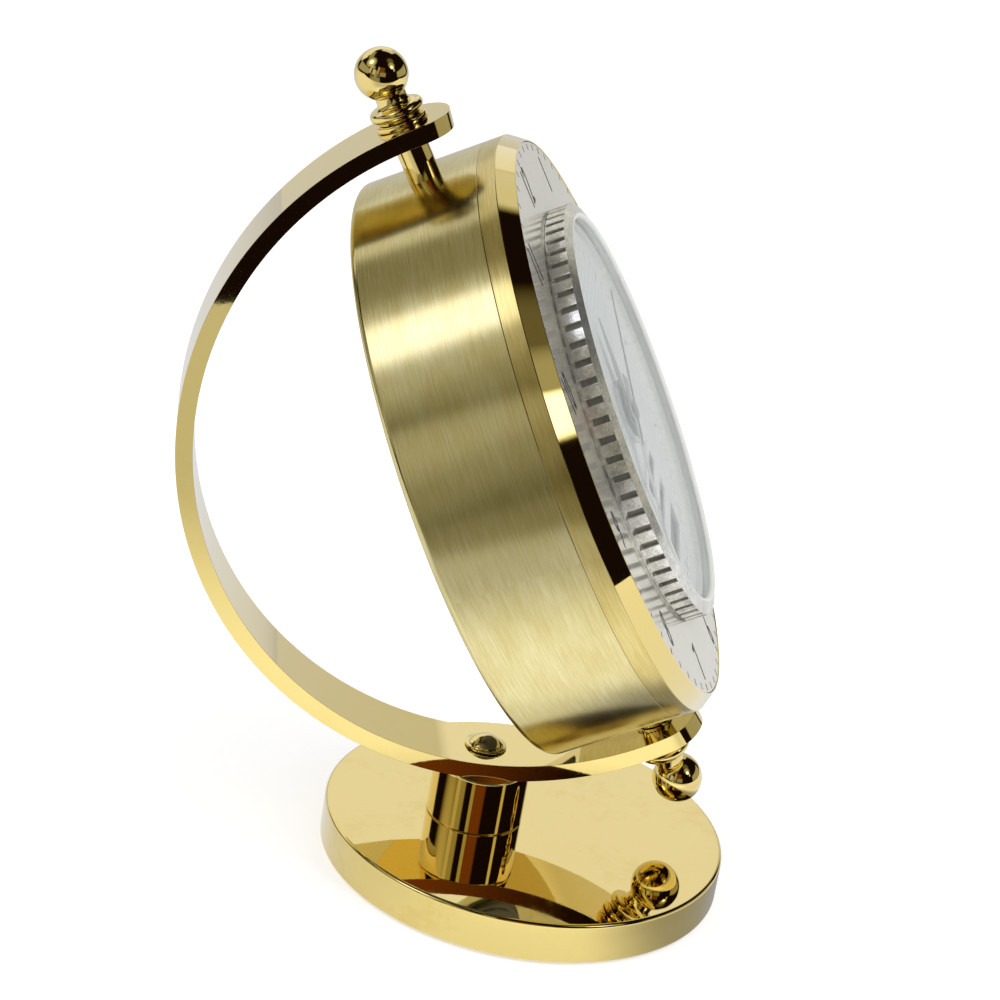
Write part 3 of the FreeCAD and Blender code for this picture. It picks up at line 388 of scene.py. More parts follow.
@dataclass(frozen=True)
class BrushedBrass(Finish):
    """Satin brass, brushed round the drum with fine grooves side by side."""

    name: str = "brushed_brass"
    slot: str = "brushed_brass"
    light: Triple = (0.74, 0.67, 0.38)
    dark: Triple = (0.58, 0.49, 0.20)
    radius: float = 40.0

    def paint(self, graph: Graph) -> dict:
        """Grooves that are long round the drum and narrow along its axis.

        Args:
            graph: graph of the material.

        Returns:
            Sockets of the Principled shader.
        """
        across, up, along = graph.split(graph.dial_place())
        around = up.angle_from(across) * self.radius
        grain = graph.noise(graph.join(around * 0.14, along * 4.0, 0.0), 1.0, 3.0, 0.6)
        fibre = graph.noise(graph.join(around * 0.4, along * 9.0, 3.0), 1.0, 2.0, 0.5)
        cloud = graph.noise(graph.join(around * 0.12, along * 0.25, 7.0), 1.0, 3.0, 0.55)
        streak = grain * 0.6 + fibre * 0.4
        tone = (streak * 0.8 + cloud * 0.4 - 0.1).rise(0.3, 0.75)
        return {
            "Base Color": graph.blend(tone, self.dark, self.light),
            "Metallic": 1.0,
            "Roughness": 0.12 + streak * 0.05 + cloud * 0.05,
            "Normal": graph.bump(streak, 0.006, 0.8),
        }


@dataclass(frozen=True)
class SatinMetal(Finish):
    """Plain satin or polished metal with fine grain."""

    name: str = "satin_metal"
    slot: str = "steel"
    light: Triple = (0.72, 0.73, 0.73)
    dark: Triple = (0.55, 0.56, 0.57)
    roughness: float = 0.2
    grain: float = 3.0
    relief: float = 0.01
    metallic: float = 1.0

    def paint(self, graph: Graph) -> dict:
        """Grain in tint, gloss and relief.

        Args:
            graph: graph of the material.

        Returns:
            Sockets of the Principled shader.
        """
        point = graph.place()
        cloud = graph.noise(point, 0.35, 4.0, 0.6)
        grit = graph.noise(point, self.grain, 3.0, 0.6)
        tone = (cloud * 0.5 + grit * 0.5).rise(0.35, 0.65)
        return {
            "Base Color": graph.blend(tone, self.dark, self.light),
            "Metallic": self.metallic,
            "Roughness": self.roughness + grit * 0.08,
            "Normal": graph.bump(grit, self.relief, 0.5),
        }


@dataclass(frozen=True)
class Plastic(Finish):
    """Moulded plastic, card or fibre with a fine spark-eroded grain."""

    name: str = "plastic"
    slot: str = "black_plastic"
    light: Triple = (0.05, 0.05, 0.052)
    dark: Triple = (0.03, 0.03, 0.032)
    roughness: float = 0.45
    grain: float = 5.0
    relief: float = 0.02

    def paint(self, graph: Graph) -> dict:
        """Grain in relief, with a slow drift of tint and gloss.

        Args:
            graph: graph of the material.

        Returns:
            Sockets of the Principled shader.
        """
        point = graph.place()
        cloud = graph.noise(point, 0.2, 4.0, 0.6)
        grit = graph.noise(point, self.grain, 2.0, 0.6)
        tone = (cloud * 0.6 + grit * 0.4).rise(0.3, 0.7)
        return {
            "Base Color": graph.blend(tone, self.dark, self.light),
            "Roughness": self.roughness + cloud * 0.12,
            "Normal": graph.bump(grit, self.relief, 0.6),
        }


@dataclass(frozen=True)
class Crystal(Finish):
    """Clear glass with a faint haze that mirrors more the flatter it is seen."""

    name: str = "crystal_glass"
    slot: str = "crystal_glass"
    light: Triple = (0.92, 0.96, 0.95)
    dark: Triple = (0.88, 0.93, 0.92)
    haze: float = 0.08
    glass_ior: float = 1.49

    def paint(self, graph: Graph) -> dict:
        """Wiping marks change the haze and the gloss.

        Args:
            graph: graph of the material.

        Returns:
            Sockets of the Principled shader.
        """
        smear = graph.noise(graph.place(), 0.25, 4.0, 0.6).rise(0.45, 0.7)
        mirror = graph.add("ShaderNodeFresnel", None, {"IOR": self.glass_ior})
        return {
            "Base Color": graph.blend(smear, self.dark, self.light),
            "Metallic": 0.8,
            "Roughness": 0.04 + smear * 0.06,
            "Alpha": self.haze + smear * 0.05 + mirror * 0.3,
        }


@dataclass(frozen=True)
class RibbedSilver(Finish):
    """Silver sheet pressed with fine level ribs."""

    name: str = "dial_silver"
    slot: str = "dial_silver"
    light: Triple = (0.92, 0.94, 0.93)
    dark: Triple = (0.80, 0.82, 0.81)
    pitch: float = 1.25

    def paint(self, graph: Graph) -> dict:
        """Ribs one above the other, broken up a little by grain; the colour follows the ribs
        as painted light and shade, lighter on crests and darker in troughs.

        Args:
            graph: graph of the material.

        Returns:
            Sockets of the Principled shader.
        """
        point = graph.dial_place()
        _, up, _ = graph.split(point)
        drift = graph.noise(point, 0.15, 2.0) * 0.6
        ribs = ((up + drift) * (FULL_TURN / self.pitch)).sine() * 0.5 + 0.5
        grit = graph.noise(point, 4.0, 3.0, 0.6)
        # painted light and shade along the ribs, mixed with the sheet's own grain
        tone = (ribs * 0.5 + grit * 0.5).rise(0.2, 0.8)
        return {
            "Base Color": graph.blend(tone, self.dark, self.light),
            "Metallic": 0.2,
            "Roughness": 0.32 + grit * 0.1,
            "Normal": graph.bump(ribs * 0.8 + grit * 0.2, 0.05, 0.6),
        }


class Finishes:
    """Every finish of the clock."""

    BRASS = PolishedBrass()
    BASE_TOP = PolishedBrass(name="base_brass", smudge=0.7, roughness=0.02)
    BRUSHED = BrushedBrass()
    BAND = BrushedBrass("turned_band", light=(0.70, 0.59, 0.27), dark=(0.54, 0.42, 0.13))
    SCREW = PolishedBrass(name="brass_screw", slot="brass_screw", roughness=0.09)
    PLATE = SatinMetal("silver_plate", "silver_plate", (0.80, 0.78, 0.69), (0.74, 0.72, 0.63),
                       roughness=0.16, grain=4.0, relief=0.004, metallic=0.68)
    COIN = SatinMetal("coin_metal", "coin_metal", (0.90, 0.89, 0.84), (0.56, 0.56, 0.53),
                      roughness=0.15, grain=2.2, relief=0.03, metallic=0.86)
    GLASS = Crystal()
    DIAL = RibbedSilver()
    WHITE = Plastic("white_plastic", "white_plastic", (0.86, 0.86, 0.84), (0.80, 0.80, 0.78),
                    roughness=0.35, relief=0.006)
    DATE_CARD = Plastic("calendar_card", "calendar_card", (0.84, 0.84, 0.83),
                        (0.78, 0.78, 0.77), roughness=0.5, relief=0.008)
    GREY_CARD = Plastic("grey_card", "grey_card", (0.20, 0.22, 0.22), (0.16, 0.18, 0.18),
                        roughness=0.5, relief=0.008)
    BLACK = Plastic()
    # black for printed figures, and painted shade for the screws' cross recesses
    INK = Plastic("black_ink_and_shade", "black_plastic", (0.025, 0.025, 0.028), (0.012, 0.012, 0.014),
                  roughness=0.35, relief=0.004)
    GREY_INK = Plastic("grey_ink", "black_plastic", (0.30, 0.31, 0.32), (0.24, 0.25, 0.26),
                       roughness=0.35, relief=0.004)
    MOVEMENT = Plastic("movement_plastic", "movement_plastic", (0.08, 0.08, 0.085),
                       (0.05, 0.05, 0.055), roughness=0.5, relief=0.03)
    DARK_HAND = SatinMetal("dark_hand", "hand_metal", (0.16, 0.16, 0.17), (0.10, 0.10, 0.11),
                           roughness=0.3)
    # painted shade: dark silver for the floors of the coin ring's tooth gaps, where shade
    # falls
    TARNISH = SatinMetal("painted_gap_shade", "coin_metal", (0.34, 0.34, 0.31),
                         (0.22, 0.22, 0.20), roughness=0.4, metallic=0.8)
    GREY_HAND = SatinMetal("grey_hand", "hand_metal", (0.42, 0.43, 0.43), (0.34, 0.35, 0.35),
                           roughness=0.3)
    PALE_HAND = SatinMetal("pale_hand", "hand_silver", (0.78, 0.79, 0.79), (0.66, 0.67, 0.67),
                           roughness=0.22)
    STEEL = SatinMetal()
    SLEEVE = Plastic("battery_sleeve", "battery_wrap", (0.34, 0.35, 0.37), (0.28, 0.29, 0.31),
                     roughness=0.22, relief=0.004)
    FELT = Plastic("felt", "felt", (0.07, 0.17, 0.10), (0.03, 0.09, 0.05), roughness=0.8,
                   grain=2.5, relief=0.25)


# --------------------------------------------------------------------------------------
# Mesh work


@dataclass(frozen=True)
class Sweep:
    """Part of a profile that is an arc round a centre, from the point before it."""

    centre: Point
    degrees: float
    steps: int


def dome(reach: float, rise: float, top: float, steps: int) -> Sweep:
    """Arc of a dome, from its rim up to the axis.

    Args:
        reach: radius of the rim, negative for an arc from the axis down to the rim.
        rise: height of the dome over its rim.
        top: height of its middle.
        steps: facets from rim to middle.

    Returns:
        The arc.
    """
    radius = (reach * reach + rise * rise) / (2 * rise)
    return Sweep((0, top - radius), math.degrees(math.asin(reach / radius)), steps)


class Blank:
    """A mesh in the making, in millimetres, in its own frame."""

    def __init__(self) -> None:
        """Starts empty."""
        self.bm = bmesh.new()

    def turned(self, profile: Sequence[Union[Point, Sweep]], steps: int = 144,
               closed: bool = True) -> "Blank":
        """Turns a profile about Z, as on a lathe.

        Args:
            profile: (radius, height) points and arcs.
            steps: facets round the axis.
            closed: whether the last point joins the first.

        Returns:
            This blank.
        """
        verts = []
        for part in profile:
            if isinstance(part, Sweep):
                centre = Vector((part.centre[0], 0, part.centre[1]))
                arm = verts[-1].co - centre
                for step in range(1, part.steps + 1):
                    angle = math.radians(part.degrees) * step / part.steps
                    turned = Matrix.Rotation(-angle, 3, "Y") @ arm
                    verts.append(self.bm.verts.new(centre + turned))
            else:
                verts.append(self.bm.verts.new((part[0], 0, part[1])))
        ends = verts[1:] + verts[:1] if closed else verts[1:]
        edges = [self.bm.edges.new(pair) for pair in zip(verts, ends)]
        bmesh.ops.spin(
            self.bm, geom=verts + edges, cent=(0, 0, 0), axis=(0, 0, 1), dvec=(0, 0, 0),
            angle=FULL_TURN, steps=steps, use_merge=True, use_duplicate=False,
        )
        return self.cleaned()

    def cleaned(self) -> "Blank":
        """Merges doubles and points every face outwards.

        Returns:
            This blank.
        """
        bmesh.ops.remove_doubles(self.bm, verts=self.bm.verts, dist=1e-4)
        bmesh.ops.dissolve_degenerate(self.bm, edges=self.bm.edges, dist=1e-5)
        bmesh.ops.recalc_face_normals(self.bm, faces=self.bm.faces)
        return self

    def soften(self, width: float, segments: int = 2, sharpest: float = 30.0,
               only: Optional[Callable[[Vector], bool]] = None) -> "Blank":
        """Rounds the sharp edges.

        Args:
            width: width of the rounding in millimetres.
            segments: facets across it.
            sharpest: edges that turn by more than this many degrees are rounded.
            only: test on an edge's middle that picks the edges.

        Returns:
            This blank.
        """
        limit = math.radians(sharpest)
        edges = [
            edge for edge in self.bm.edges
            if len(edge.link_faces) == 2 and edge.calc_face_angle(0) > limit
            and (only is None or only((edge.verts[0].co + edge.verts[1].co) / 2))
        ]
        bmesh.ops.bevel(
            self.bm, geom=edges, offset=width, offset_type="OFFSET", segments=segments,
            profile=0.5, affect="EDGES", material=-1, clamp_overlap=True,
        )
        return self

    def block(self, size: Triple, centre: Triple, turn: Matrix = Matrix.Identity(4)) -> None:
        """Adds a box.

        Args:
            size: its three sides.
            centre: its middle.
            turn: rotation that is applied after the move.
        """
        made = bmesh.ops.create_cube(self.bm, size=1.0)["verts"]
        place = turn @ Matrix.Translation(centre) @ Matrix.Diagonal((*size, 1.0))
        bmesh.ops.transform(self.bm, matrix=place, verts=made)

    def minute_marks(self, reach: float, top: float, hour: Point, minute: Point) -> None:
        """Adds printed marks that end on one circle.

        Args:
            reach: radius of that circle.
            top: height of the surface below them.
            hour: width and length of every fifth mark.
            minute: width and length of the others.
        """
        for index in range(MINUTES):
            width, length = minute if index % 5 else hour
            self.block((width, length, PRINT), (0, reach - length / 2, top + PRINT / 2),
                       Matrix.Rotation(-FULL_TURN * index / MINUTES, 4, "Z"))

    def repeat(self, count: int) -> None:
        """Repeats the blank round Z.

        Args:
            count: how often it is there afterwards.
        """
        first = [*self.bm.verts, *self.bm.edges, *self.bm.faces]
        for index in range(1, count):
            made = bmesh.ops.duplicate(self.bm, geom=first)["geom"]
            bmesh.ops.rotate(self.bm, verts=only_verts(made), cent=(0, 0, 0),
                             matrix=Matrix.Rotation(FULL_TURN / count * index, 3, "Z"))

    def waved(self, count: int, only: Callable[[float], bool],
              wave: Callable[[float], float]) -> "Blank":
        """Presses waves into a wall round Z.

        Args:
            count: number of waves.
            only: test on a vertex's radius that picks the wall.
            wave: how far the wall moves outwards, from the cosine of the place in a wave.

        Returns:
            This blank.
        """
        for vert in self.bm.verts:
            reach = math.hypot(vert.co.x, vert.co.y)
            if only(reach):
                turn = math.atan2(vert.co.y, vert.co.x) * count
                grown = 1 + wave(math.cos(turn)) / reach
                vert.co.x *= grown
                vert.co.y *= grown
        return self

    def moved(self, way: Sequence[float]) -> "Blank":
        """Moves the whole blank."""
        bmesh.ops.translate(self.bm, verts=self.bm.verts, vec=way)
        return self

    def thicken(self, height: float) -> None:
        """Gives a flat blank a thickness along Z."""
        made = bmesh.ops.extrude_face_region(self.bm, geom=self.bm.faces[:])["geom"]
        bmesh.ops.translate(self.bm, verts=only_verts(made), vec=(0, 0, height))

    def absorb(self, other: "Blank") -> None:
        """Takes over the mesh of another blank.

        Args:
            other: the other blank, which can't be used afterwards.
        """
        mesh = bpy.data.meshes.new("absorbed")
        other.bm.to_mesh(mesh)
        other.bm.free()
        self.bm.from_mesh(mesh)
        bpy.data.meshes.remove(mesh)

    def made_into(self, name: str, body: Body, finish: Finish, frame_of: Frame = Frame.DIAL,
                  replaces: Sequence[str] = (), second: Optional[Finish] = None,
                  takes_second: Optional[Callable[[bmesh.types.BMFace], bool]] = None,
                  smooth: bool = True) -> None:
        """Finishes the blank as a piece of the clock.

        Args:
            name: name of the piece.
            body: moving body that it rides on.
            finish: its finish.
            frame_of: frame that the blank is modelled in.
            replaces: solids that it stands for.
            second: finish of some faces.
            takes_second: test that picks those faces, in the blank's frame.
            smooth: whether it is shaded smooth.
        """
        for face in self.bm.faces:
            face.smooth = smooth
            if second and takes_second(face):
                face.material_index = 1
        bmesh.ops.transform(self.bm, matrix=frame_of.value, verts=self.bm.verts)
        mesh = bpy.data.meshes.new(name)
        self.bm.to_mesh(mesh)
        self.bm.free()
        mesh.set_sharp_from_angle(angle=math.radians(SHARP))
        mesh.materials.append(finish.material())
        if second:
            mesh.materials.append(second.material())
        piece = bpy.data.objects.new(name, mesh)
        bpy.context.scene.collection.objects.link(piece)
        if smooth:
            piece.modifiers.new("EvenNormals", "WEIGHTED_NORMAL").keep_sharp = True
        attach(piece, body.value)
        if replaces:
            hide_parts(*replaces)
        LOG.info("%s: %d faces", name, len(mesh.polygons))


def only_verts(geometry: Iterable) -> list[bmesh.types.BMVert]:
    """The vertices of some geometry."""
    return [item for item in geometry if isinstance(item, bmesh.types.BMVert)]


def dress(finish: Finish, *names: str) -> None:
    """Gives solids that keep their own shape a finish.

    Args:
        finish: the finish.
        names: the solids.
    """
    for name in names:
        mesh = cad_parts[name].data
        mesh.materials.clear()
        mesh.materials.append(finish.material())
        LOG.info("%s: dressed as %s", name, finish.name)


@dataclass
class Lettering:
    """Flat printed figures, thin and tall."""

    height: float
    narrow: float
    thin: float
    thickness: float = PRINT

    def figure(self, blank: Blank, text: str, place: Matrix) -> None:
        """Adds one figure to a blank.

        Args:
            blank: mesh that takes it.
            text: the figure.
            place: where its middle goes, in the blank's frame.
        """
        curve = bpy.data.curves.new("figure", "FONT")
        curve.body = text
        curve.align_x = "CENTER"
        curve.align_y = "CENTER"
        curve.offset = self.thin
        curve.resolution_u = 4
        holder = bpy.data.objects.new("figure", curve)
        bpy.context.scene.collection.objects.link(holder)
        bpy.context.view_layer.update()
        graph = bpy.context.evaluated_depsgraph_get()
        mesh = bpy.data.meshes.new_from_object(holder.evaluated_get(graph))
        bpy.data.objects.remove(holder)
        bpy.data.curves.remove(curve)
        figure = Blank()
        figure.bm.from_mesh(mesh)
        bpy.data.meshes.remove(mesh)
        verts = figure.bm.verts
        bmesh.ops.remove_doubles(figure.bm, verts=verts, dist=1e-5)
        left, right = (pick(vert.co.x for vert in verts) for pick in (min, max))
        foot, head = (pick(vert.co.y for vert in verts) for pick in (min, max))
        figure.moved((-(left + right) / 2, -(foot + head) / 2, 0))
        scale = self.height / (head - foot)
        bmesh.ops.scale(figure.bm, verts=verts, vec=(scale * self.narrow, scale, scale))
        figure.thicken(self.thickness)
        bmesh.ops.recalc_face_normals(figure.bm, faces=figure.bm.faces)
        bmesh.ops.transform(figure.bm, matrix=place, verts=verts)
        blank.absorb(figure)


# --------------------------------------------------------------------------------------
# Sub-assemblies


@dataclass
class Stand:
    """Base, column and bent arm."""

    base_radius: float = 28.0
    base_bottom: float = 0.5
    base_top: float = 6.1
    base_edge: float = 0.5
    base_foot_edge: float = 0.25
    felt_seat: float = 1.0
    felt_radius: float = 25.6
    column_radius: float = 6.7
    column_shift: float = 0.5
    column_foot: float = 0.22
    column_head: float = 0.3
    column_bend: float = 0.5
    pivot_height: float = 61.75
    arm_inner: float = 45.4
    arm_outer: float = 47.7
    arm_half: float = 5.5
    arm_overrun: float = 7.75
    arm_end_radius: float = 5.2
    arm_edge: float = 0.32
    screw_radius: float = 2.4
    screw_height: float = 1.3
    screw_rim: float = 0.25
    washer_radius: float = 2.9
    washer_thickness: float = 0.3

    def build(self) -> None:
        """Builds every piece of the stand."""
        self.base()
        self.column()
        self.arm()
        self.screw()
        dress(Finishes.FELT, "felt_pad")
        dress(Finishes.STEEL, "base_screw")
        dress(Finishes.BRASS, "top_bushing", "bottom_bushing")

    def base(self) -> None:
        """Thick round foot with a small rounded rim."""
        blank = Blank().turned([
            (0, self.felt_seat), (self.felt_radius, self.felt_seat),
            (self.felt_radius, self.base_bottom), (self.base_radius, self.base_bottom),
            (self.base_radius, self.base_top), (0, self.base_top),
        ], steps=192, closed=False)
        blank.soften(self.base_edge, 5, only=lambda p: p.z > self.base_top - NEAR)
        blank.soften(self.base_foot_edge, only=lambda p: p.z < self.base_bottom + NEAR)
        blank.made_into("base_plate_polished", Body.STAND, Finishes.BASE_TOP, Frame.BASE,
                        ["base_plate"])

    def column(self) -> None:
        """Short column whose top follows the underside of the arm."""
        top = self.pivot_height - math.sqrt(self.arm_outer**2 - self.column_radius**2)
        blank = Blank().turned([
            (0, self.base_top), (self.column_radius, self.base_top),
            (self.column_radius, top), (0, top),
        ], steps=128, closed=False)
        blank.soften(self.column_foot, 3, only=lambda p: p.z < self.base_top + NEAR)
        blank.soften(self.column_head, 3, only=lambda p: p.z > top - NEAR)
        for vert in blank.bm.verts:
            if vert.co.z > top - self.column_bend:
                reach = min(self.column_radius, abs(vert.co.y - self.column_shift))
                sag = top - self.pivot_height + math.sqrt(self.arm_outer**2 - reach**2)
                vert.co.z -= sag
        blank.made_into("column_polished", Body.STAND, Finishes.BRASS, Frame.COLUMN,
                        ["column"])

    def arm(self) -> None:
        """Flat bar bent round the drum, with rounded ends."""
        blank = Blank()
        start = -math.radians(self.arm_overrun)
        whole = math.pi - start * 2
        tip = self.arm_end_radius * 2 / (self.arm_inner + self.arm_outer)
        corners = [
            blank.bm.verts.new((side, radius * math.sin(start), radius * math.cos(start)))
            for side, radius in (
                (-self.arm_half, self.arm_inner), (self.arm_half, self.arm_inner),
                (self.arm_half, self.arm_outer), (-self.arm_half, self.arm_outer),
            )
        ]
        section = blank.bm.faces.new(corners)
        moving = [section, *section.edges, *section.verts]
        for angle, steps in ((tip, 14), (whole - tip * 2, 120), (tip, 14)):
            moving = bmesh.ops.spin(
                blank.bm, geom=moving, cent=(0, 0, 0), axis=(-1, 0, 0), dvec=(0, 0, 0),
                angle=angle, steps=steps, use_merge=False, use_duplicate=False,
            )["geom_last"]
        blank.cleaned()
        for vert in blank.bm.verts:
            along = math.atan2(vert.co.y, vert.co.z)
            if along < start - 0.1:
                along += FULL_TURN
            first, last = along - start, start + whole - along
            share = 1 - min(first, last) / tip
            if share > 0:
                swing = share * math.pi / 2
                pinch = self.arm_end_radius * (1 - math.cos(swing))
                vert.co.x *= (self.arm_half - pinch) / self.arm_half
                back = tip * (math.sin(swing) - share) * (-1 if first < last else 1)
                vert.co.rotate(Matrix.Rotation(-back, 3, "X"))
        blank.bm.normal_update()
        blank.soften(self.arm_edge, 3, sharpest=50.0)
        blank.made_into("arm_polished", Body.STAND, Finishes.BRASS, Frame.PIVOT, ["arm"])

    def screw(self) -> None:
        """Domed screw and its washer, inside the arm over the column."""
        reach = self.washer_radius + self.column_shift
        seat = self.pivot_height - math.sqrt(self.arm_inner**2 - reach**2)
        top = seat + self.washer_thickness
        Blank().turned([
            (0, seat), (self.washer_radius, seat), (self.washer_radius, top), (0, top),
        ], steps=64, closed=False).soften(FINE_EDGE).made_into(
            "arm_washer_polished", Body.STAND, Finishes.SCREW, Frame.COLUMN, ["arm_washer"])
        rim, crown = top + self.screw_rim, top + self.screw_height
        Blank().turned([
            (0, top), (self.screw_radius, top), (self.screw_radius, rim),
            dome(self.screw_radius, crown - rim, crown, 14),
        ], steps=64, closed=False).made_into(
            "arm_screw_polished", Body.STAND, Finishes.SCREW, Frame.COLUMN, ["arm_screw"])


@dataclass
class Pivots:
    """Finials, thrust washers, posts and nuts of both ends of the swivel axis."""

    case_radius: float = 40.0
    post_radius: float = 2.2
    post_sink: float = 0.3
    post_top: float = 44.9
    post_edge: float = 0.1
    pin_radius: float = 1.5
    washer_bore: float = 1.6
    washer_radius: float = 3.5
    washer_bottom: float = 47.7
    washer_top: float = 48.4
    washer_edge: float = 0.12
    foot: float = 48.5
    foot_radius: float = 2.9
    foot_height: float = 0.4
    flange_radius: float = 3.15
    flange_height: float = 1.35
    bead_radius: float = 0.72
    shoulder_height: float = 0.75
    neck_radius: float = 2.05
    neck_length: float = 0.8
    ball_radius: float = 3.5
    finial_edge: float = 0.06

    def build(self) -> None:
        """Builds both ends."""
        for end in End:
            self.washer(end)
            self.post(end)
            self.finial(end)
            dress(Finishes.STEEL, end.part("pivot_nut"))

    def washer(self, end: End) -> None:
        """Thrust washer between the arm and a finial.

        Args:
            end: end of the axis.
        """
        name = end.part("thrust_washer")
        Blank().turned([
            (self.washer_bore, self.washer_bottom), (self.washer_radius, self.washer_bottom),
            (self.washer_radius, self.washer_top), (self.washer_bore, self.washer_top),
        ], steps=96).soften(self.washer_edge, 3).made_into(
            f"{name}_polished", Body.STAND, Finishes.BRASS, end.value, [name])

    def post(self, end: End) -> None:
        """Post that holds the drum in the arm.

        Args:
            end: end of the axis.
        """
        name = end.part("pivot_post")
        base = self.case_radius - self.post_sink
        Blank().turned([
            (0, base), (self.post_radius, base), (self.post_radius, self.post_top),
            (self.pin_radius, self.post_top), (self.pin_radius, self.foot), (0, self.foot),
        ], steps=72, closed=False).soften(self.post_edge).made_into(
            f"{name}_polished", Body.DRUM, Finishes.BRASS, end.value, [name])

    def finial(self, end: End) -> None:
        """Turned knob: foot, beaded flange, waist, neck and ball.

        Args:
            end: end of the axis.
        """
        name = end.part("finial")
        flange_foot = self.foot + self.foot_height
        flange_top = flange_foot + self.flange_height
        waist = flange_top + self.shoulder_height
        neck_top = waist + self.neck_length
        half = self.flange_height / 2
        sag = math.sqrt(self.bead_radius**2 - half**2)
        bulge = math.degrees(math.asin(half / self.bead_radius)) * 2
        lift = math.sqrt(self.ball_radius**2 - self.neck_radius**2)
        start = math.degrees(math.atan2(self.neck_radius, lift))
        Blank().turned([
            (0, self.foot), (self.foot_radius, self.foot),
            (self.foot_radius, flange_foot), (self.flange_radius, flange_foot),
            Sweep((self.flange_radius - sag, flange_foot + half), bulge, 8),
            self.cove(flange_top, waist), (self.neck_radius, neck_top),
            Sweep((0, neck_top + lift), 180 - start, 40),
        ], steps=96, closed=False).soften(self.finial_edge, sharpest=60).made_into(
            f"{name}_polished", Body.DRUM, Finishes.BRASS, end.value, [name])

    def cove(self, low: float, high: float) -> Sweep:
        """Hollow between the flange and the neck of a finial.

        Args:
            low: height at which it leaves the flange.
            high: height at which it meets the neck.

        Returns:
            The arc.
        """
        inward, upward = self.flange_radius - self.neck_radius, high - low
        gap = math.hypot(inward, upward)
        off = math.sqrt(max(0.0, inward * inward - gap * gap / 4)) / gap
        x = (self.flange_radius + self.neck_radius) / 2 + upward * off
        z = (low + high) / 2 + inward * off
        first = math.atan2(low - z, self.flange_radius - x)
        last = math.atan2(high - z, self.neck_radius - x)
        return Sweep((x, z), math.degrees((last - first + math.pi) % FULL_TURN - math.pi), 10)


@dataclass
class Drum:
    """Brushed case, bezel and plate with the hours."""

    radius: float = 40.0
    inner: float = 38.8
    back: float = -10.1
    back_edge: float = 0.9
    seam: float = 7.4
    shoulder: float = 9.9
    band_margin: float = 0.03
    front: float = 12.1
    face_radius: float = 38.4
    bezel_edge: float = 0.1
    plate_radius: float = 38.2
    plate_hole: float = 28.15
    plate_seat: float = 11.2
    plate_top: float = 12.0
    plate_edge: float = 0.06
    lip: float = 36.8
    lip_front: float = -8.6
    spigot: float = 4.4
    spigot_bore: float = 37.0
    figure_radius: float = 34.1
    mark_outer: float = 37.9
    hour_mark: Point = (0.16, 0.9)
    minute_mark: Point = (0.06, 0.9)

    def build(self) -> None:
        """Builds every piece of the drum's shell."""
        self.case()
        self.bezel()
        self.plate()
        self.figures()
        dress(Finishes.BLACK, "carrier_ring", "clamp_ring")

    def case(self) -> None:
        """Tube with a lip at the back."""
        blank = Blank().turned([
            (self.lip, self.back), (self.radius, self.back), (self.radius, self.seam),
            (self.inner, self.seam), (self.inner, self.lip_front), (self.lip, self.lip_front),
        ], steps=256)
        blank.soften(self.back_edge, 5, only=lambda p: p.z < self.back + NEAR
                     and math.hypot(p.x, p.y) > self.radius - NEAR)
        blank.soften(FINE_EDGE, sharpest=60).made_into(
            "case_shell_brushed", Body.DRUM, Finishes.BRUSHED, replaces=["case_shell"])

    def bezel(self) -> None:
        """Brushed band with a wide polished bevel."""
        bevel = self.shoulder + self.band_margin
        fit, seat = self.inner - SEAT_GAP, self.plate_radius + SEAT_GAP
        Blank().turned([
            (self.spigot_bore, self.spigot), (fit, self.spigot), (fit, self.seam),
            (self.radius, self.seam), (self.radius, self.shoulder),
            (self.face_radius, self.front), (seat, self.front), (seat, self.plate_seat),
            (self.spigot_bore, self.plate_seat),
        ], steps=256).soften(self.bezel_edge, sharpest=25).made_into(
            "front_bezel_turned", Body.DRUM, Finishes.BAND, replaces=["front_bezel"],
            second=Finishes.BRASS,
            takes_second=lambda face: face.calc_center_median().z > bevel)

    def plate(self) -> None:
        """Flat silver ring."""
        Blank().turned([
            (self.plate_hole, self.plate_seat), (self.plate_radius, self.plate_seat),
            (self.plate_radius, self.plate_top), (self.plate_hole, self.plate_top),
        ], steps=192).soften(self.plate_edge, 1).made_into(
            "chapter_plate_silver", Body.DRUM, Finishes.PLATE, replaces=["chapter_plate"])

    def figures(self) -> None:
        """Hours, upright, and thin marks near the outer edge."""
        blank = Blank()
        lettering = Lettering(height=5.2, narrow=0.5, thin=-0.004)
        for hour in range(1, 13):
            angle = FULL_TURN * hour / 12
            lettering.figure(blank, str(hour), Matrix.Translation((
                self.figure_radius * math.sin(angle), self.figure_radius * math.cos(angle),
                self.plate_top,
            )))
        blank.minute_marks(self.mark_outer, self.plate_top, self.hour_mark, self.minute_mark)
        blank.made_into("hour_figures", Body.DRUM, Finishes.INK, smooth=False)


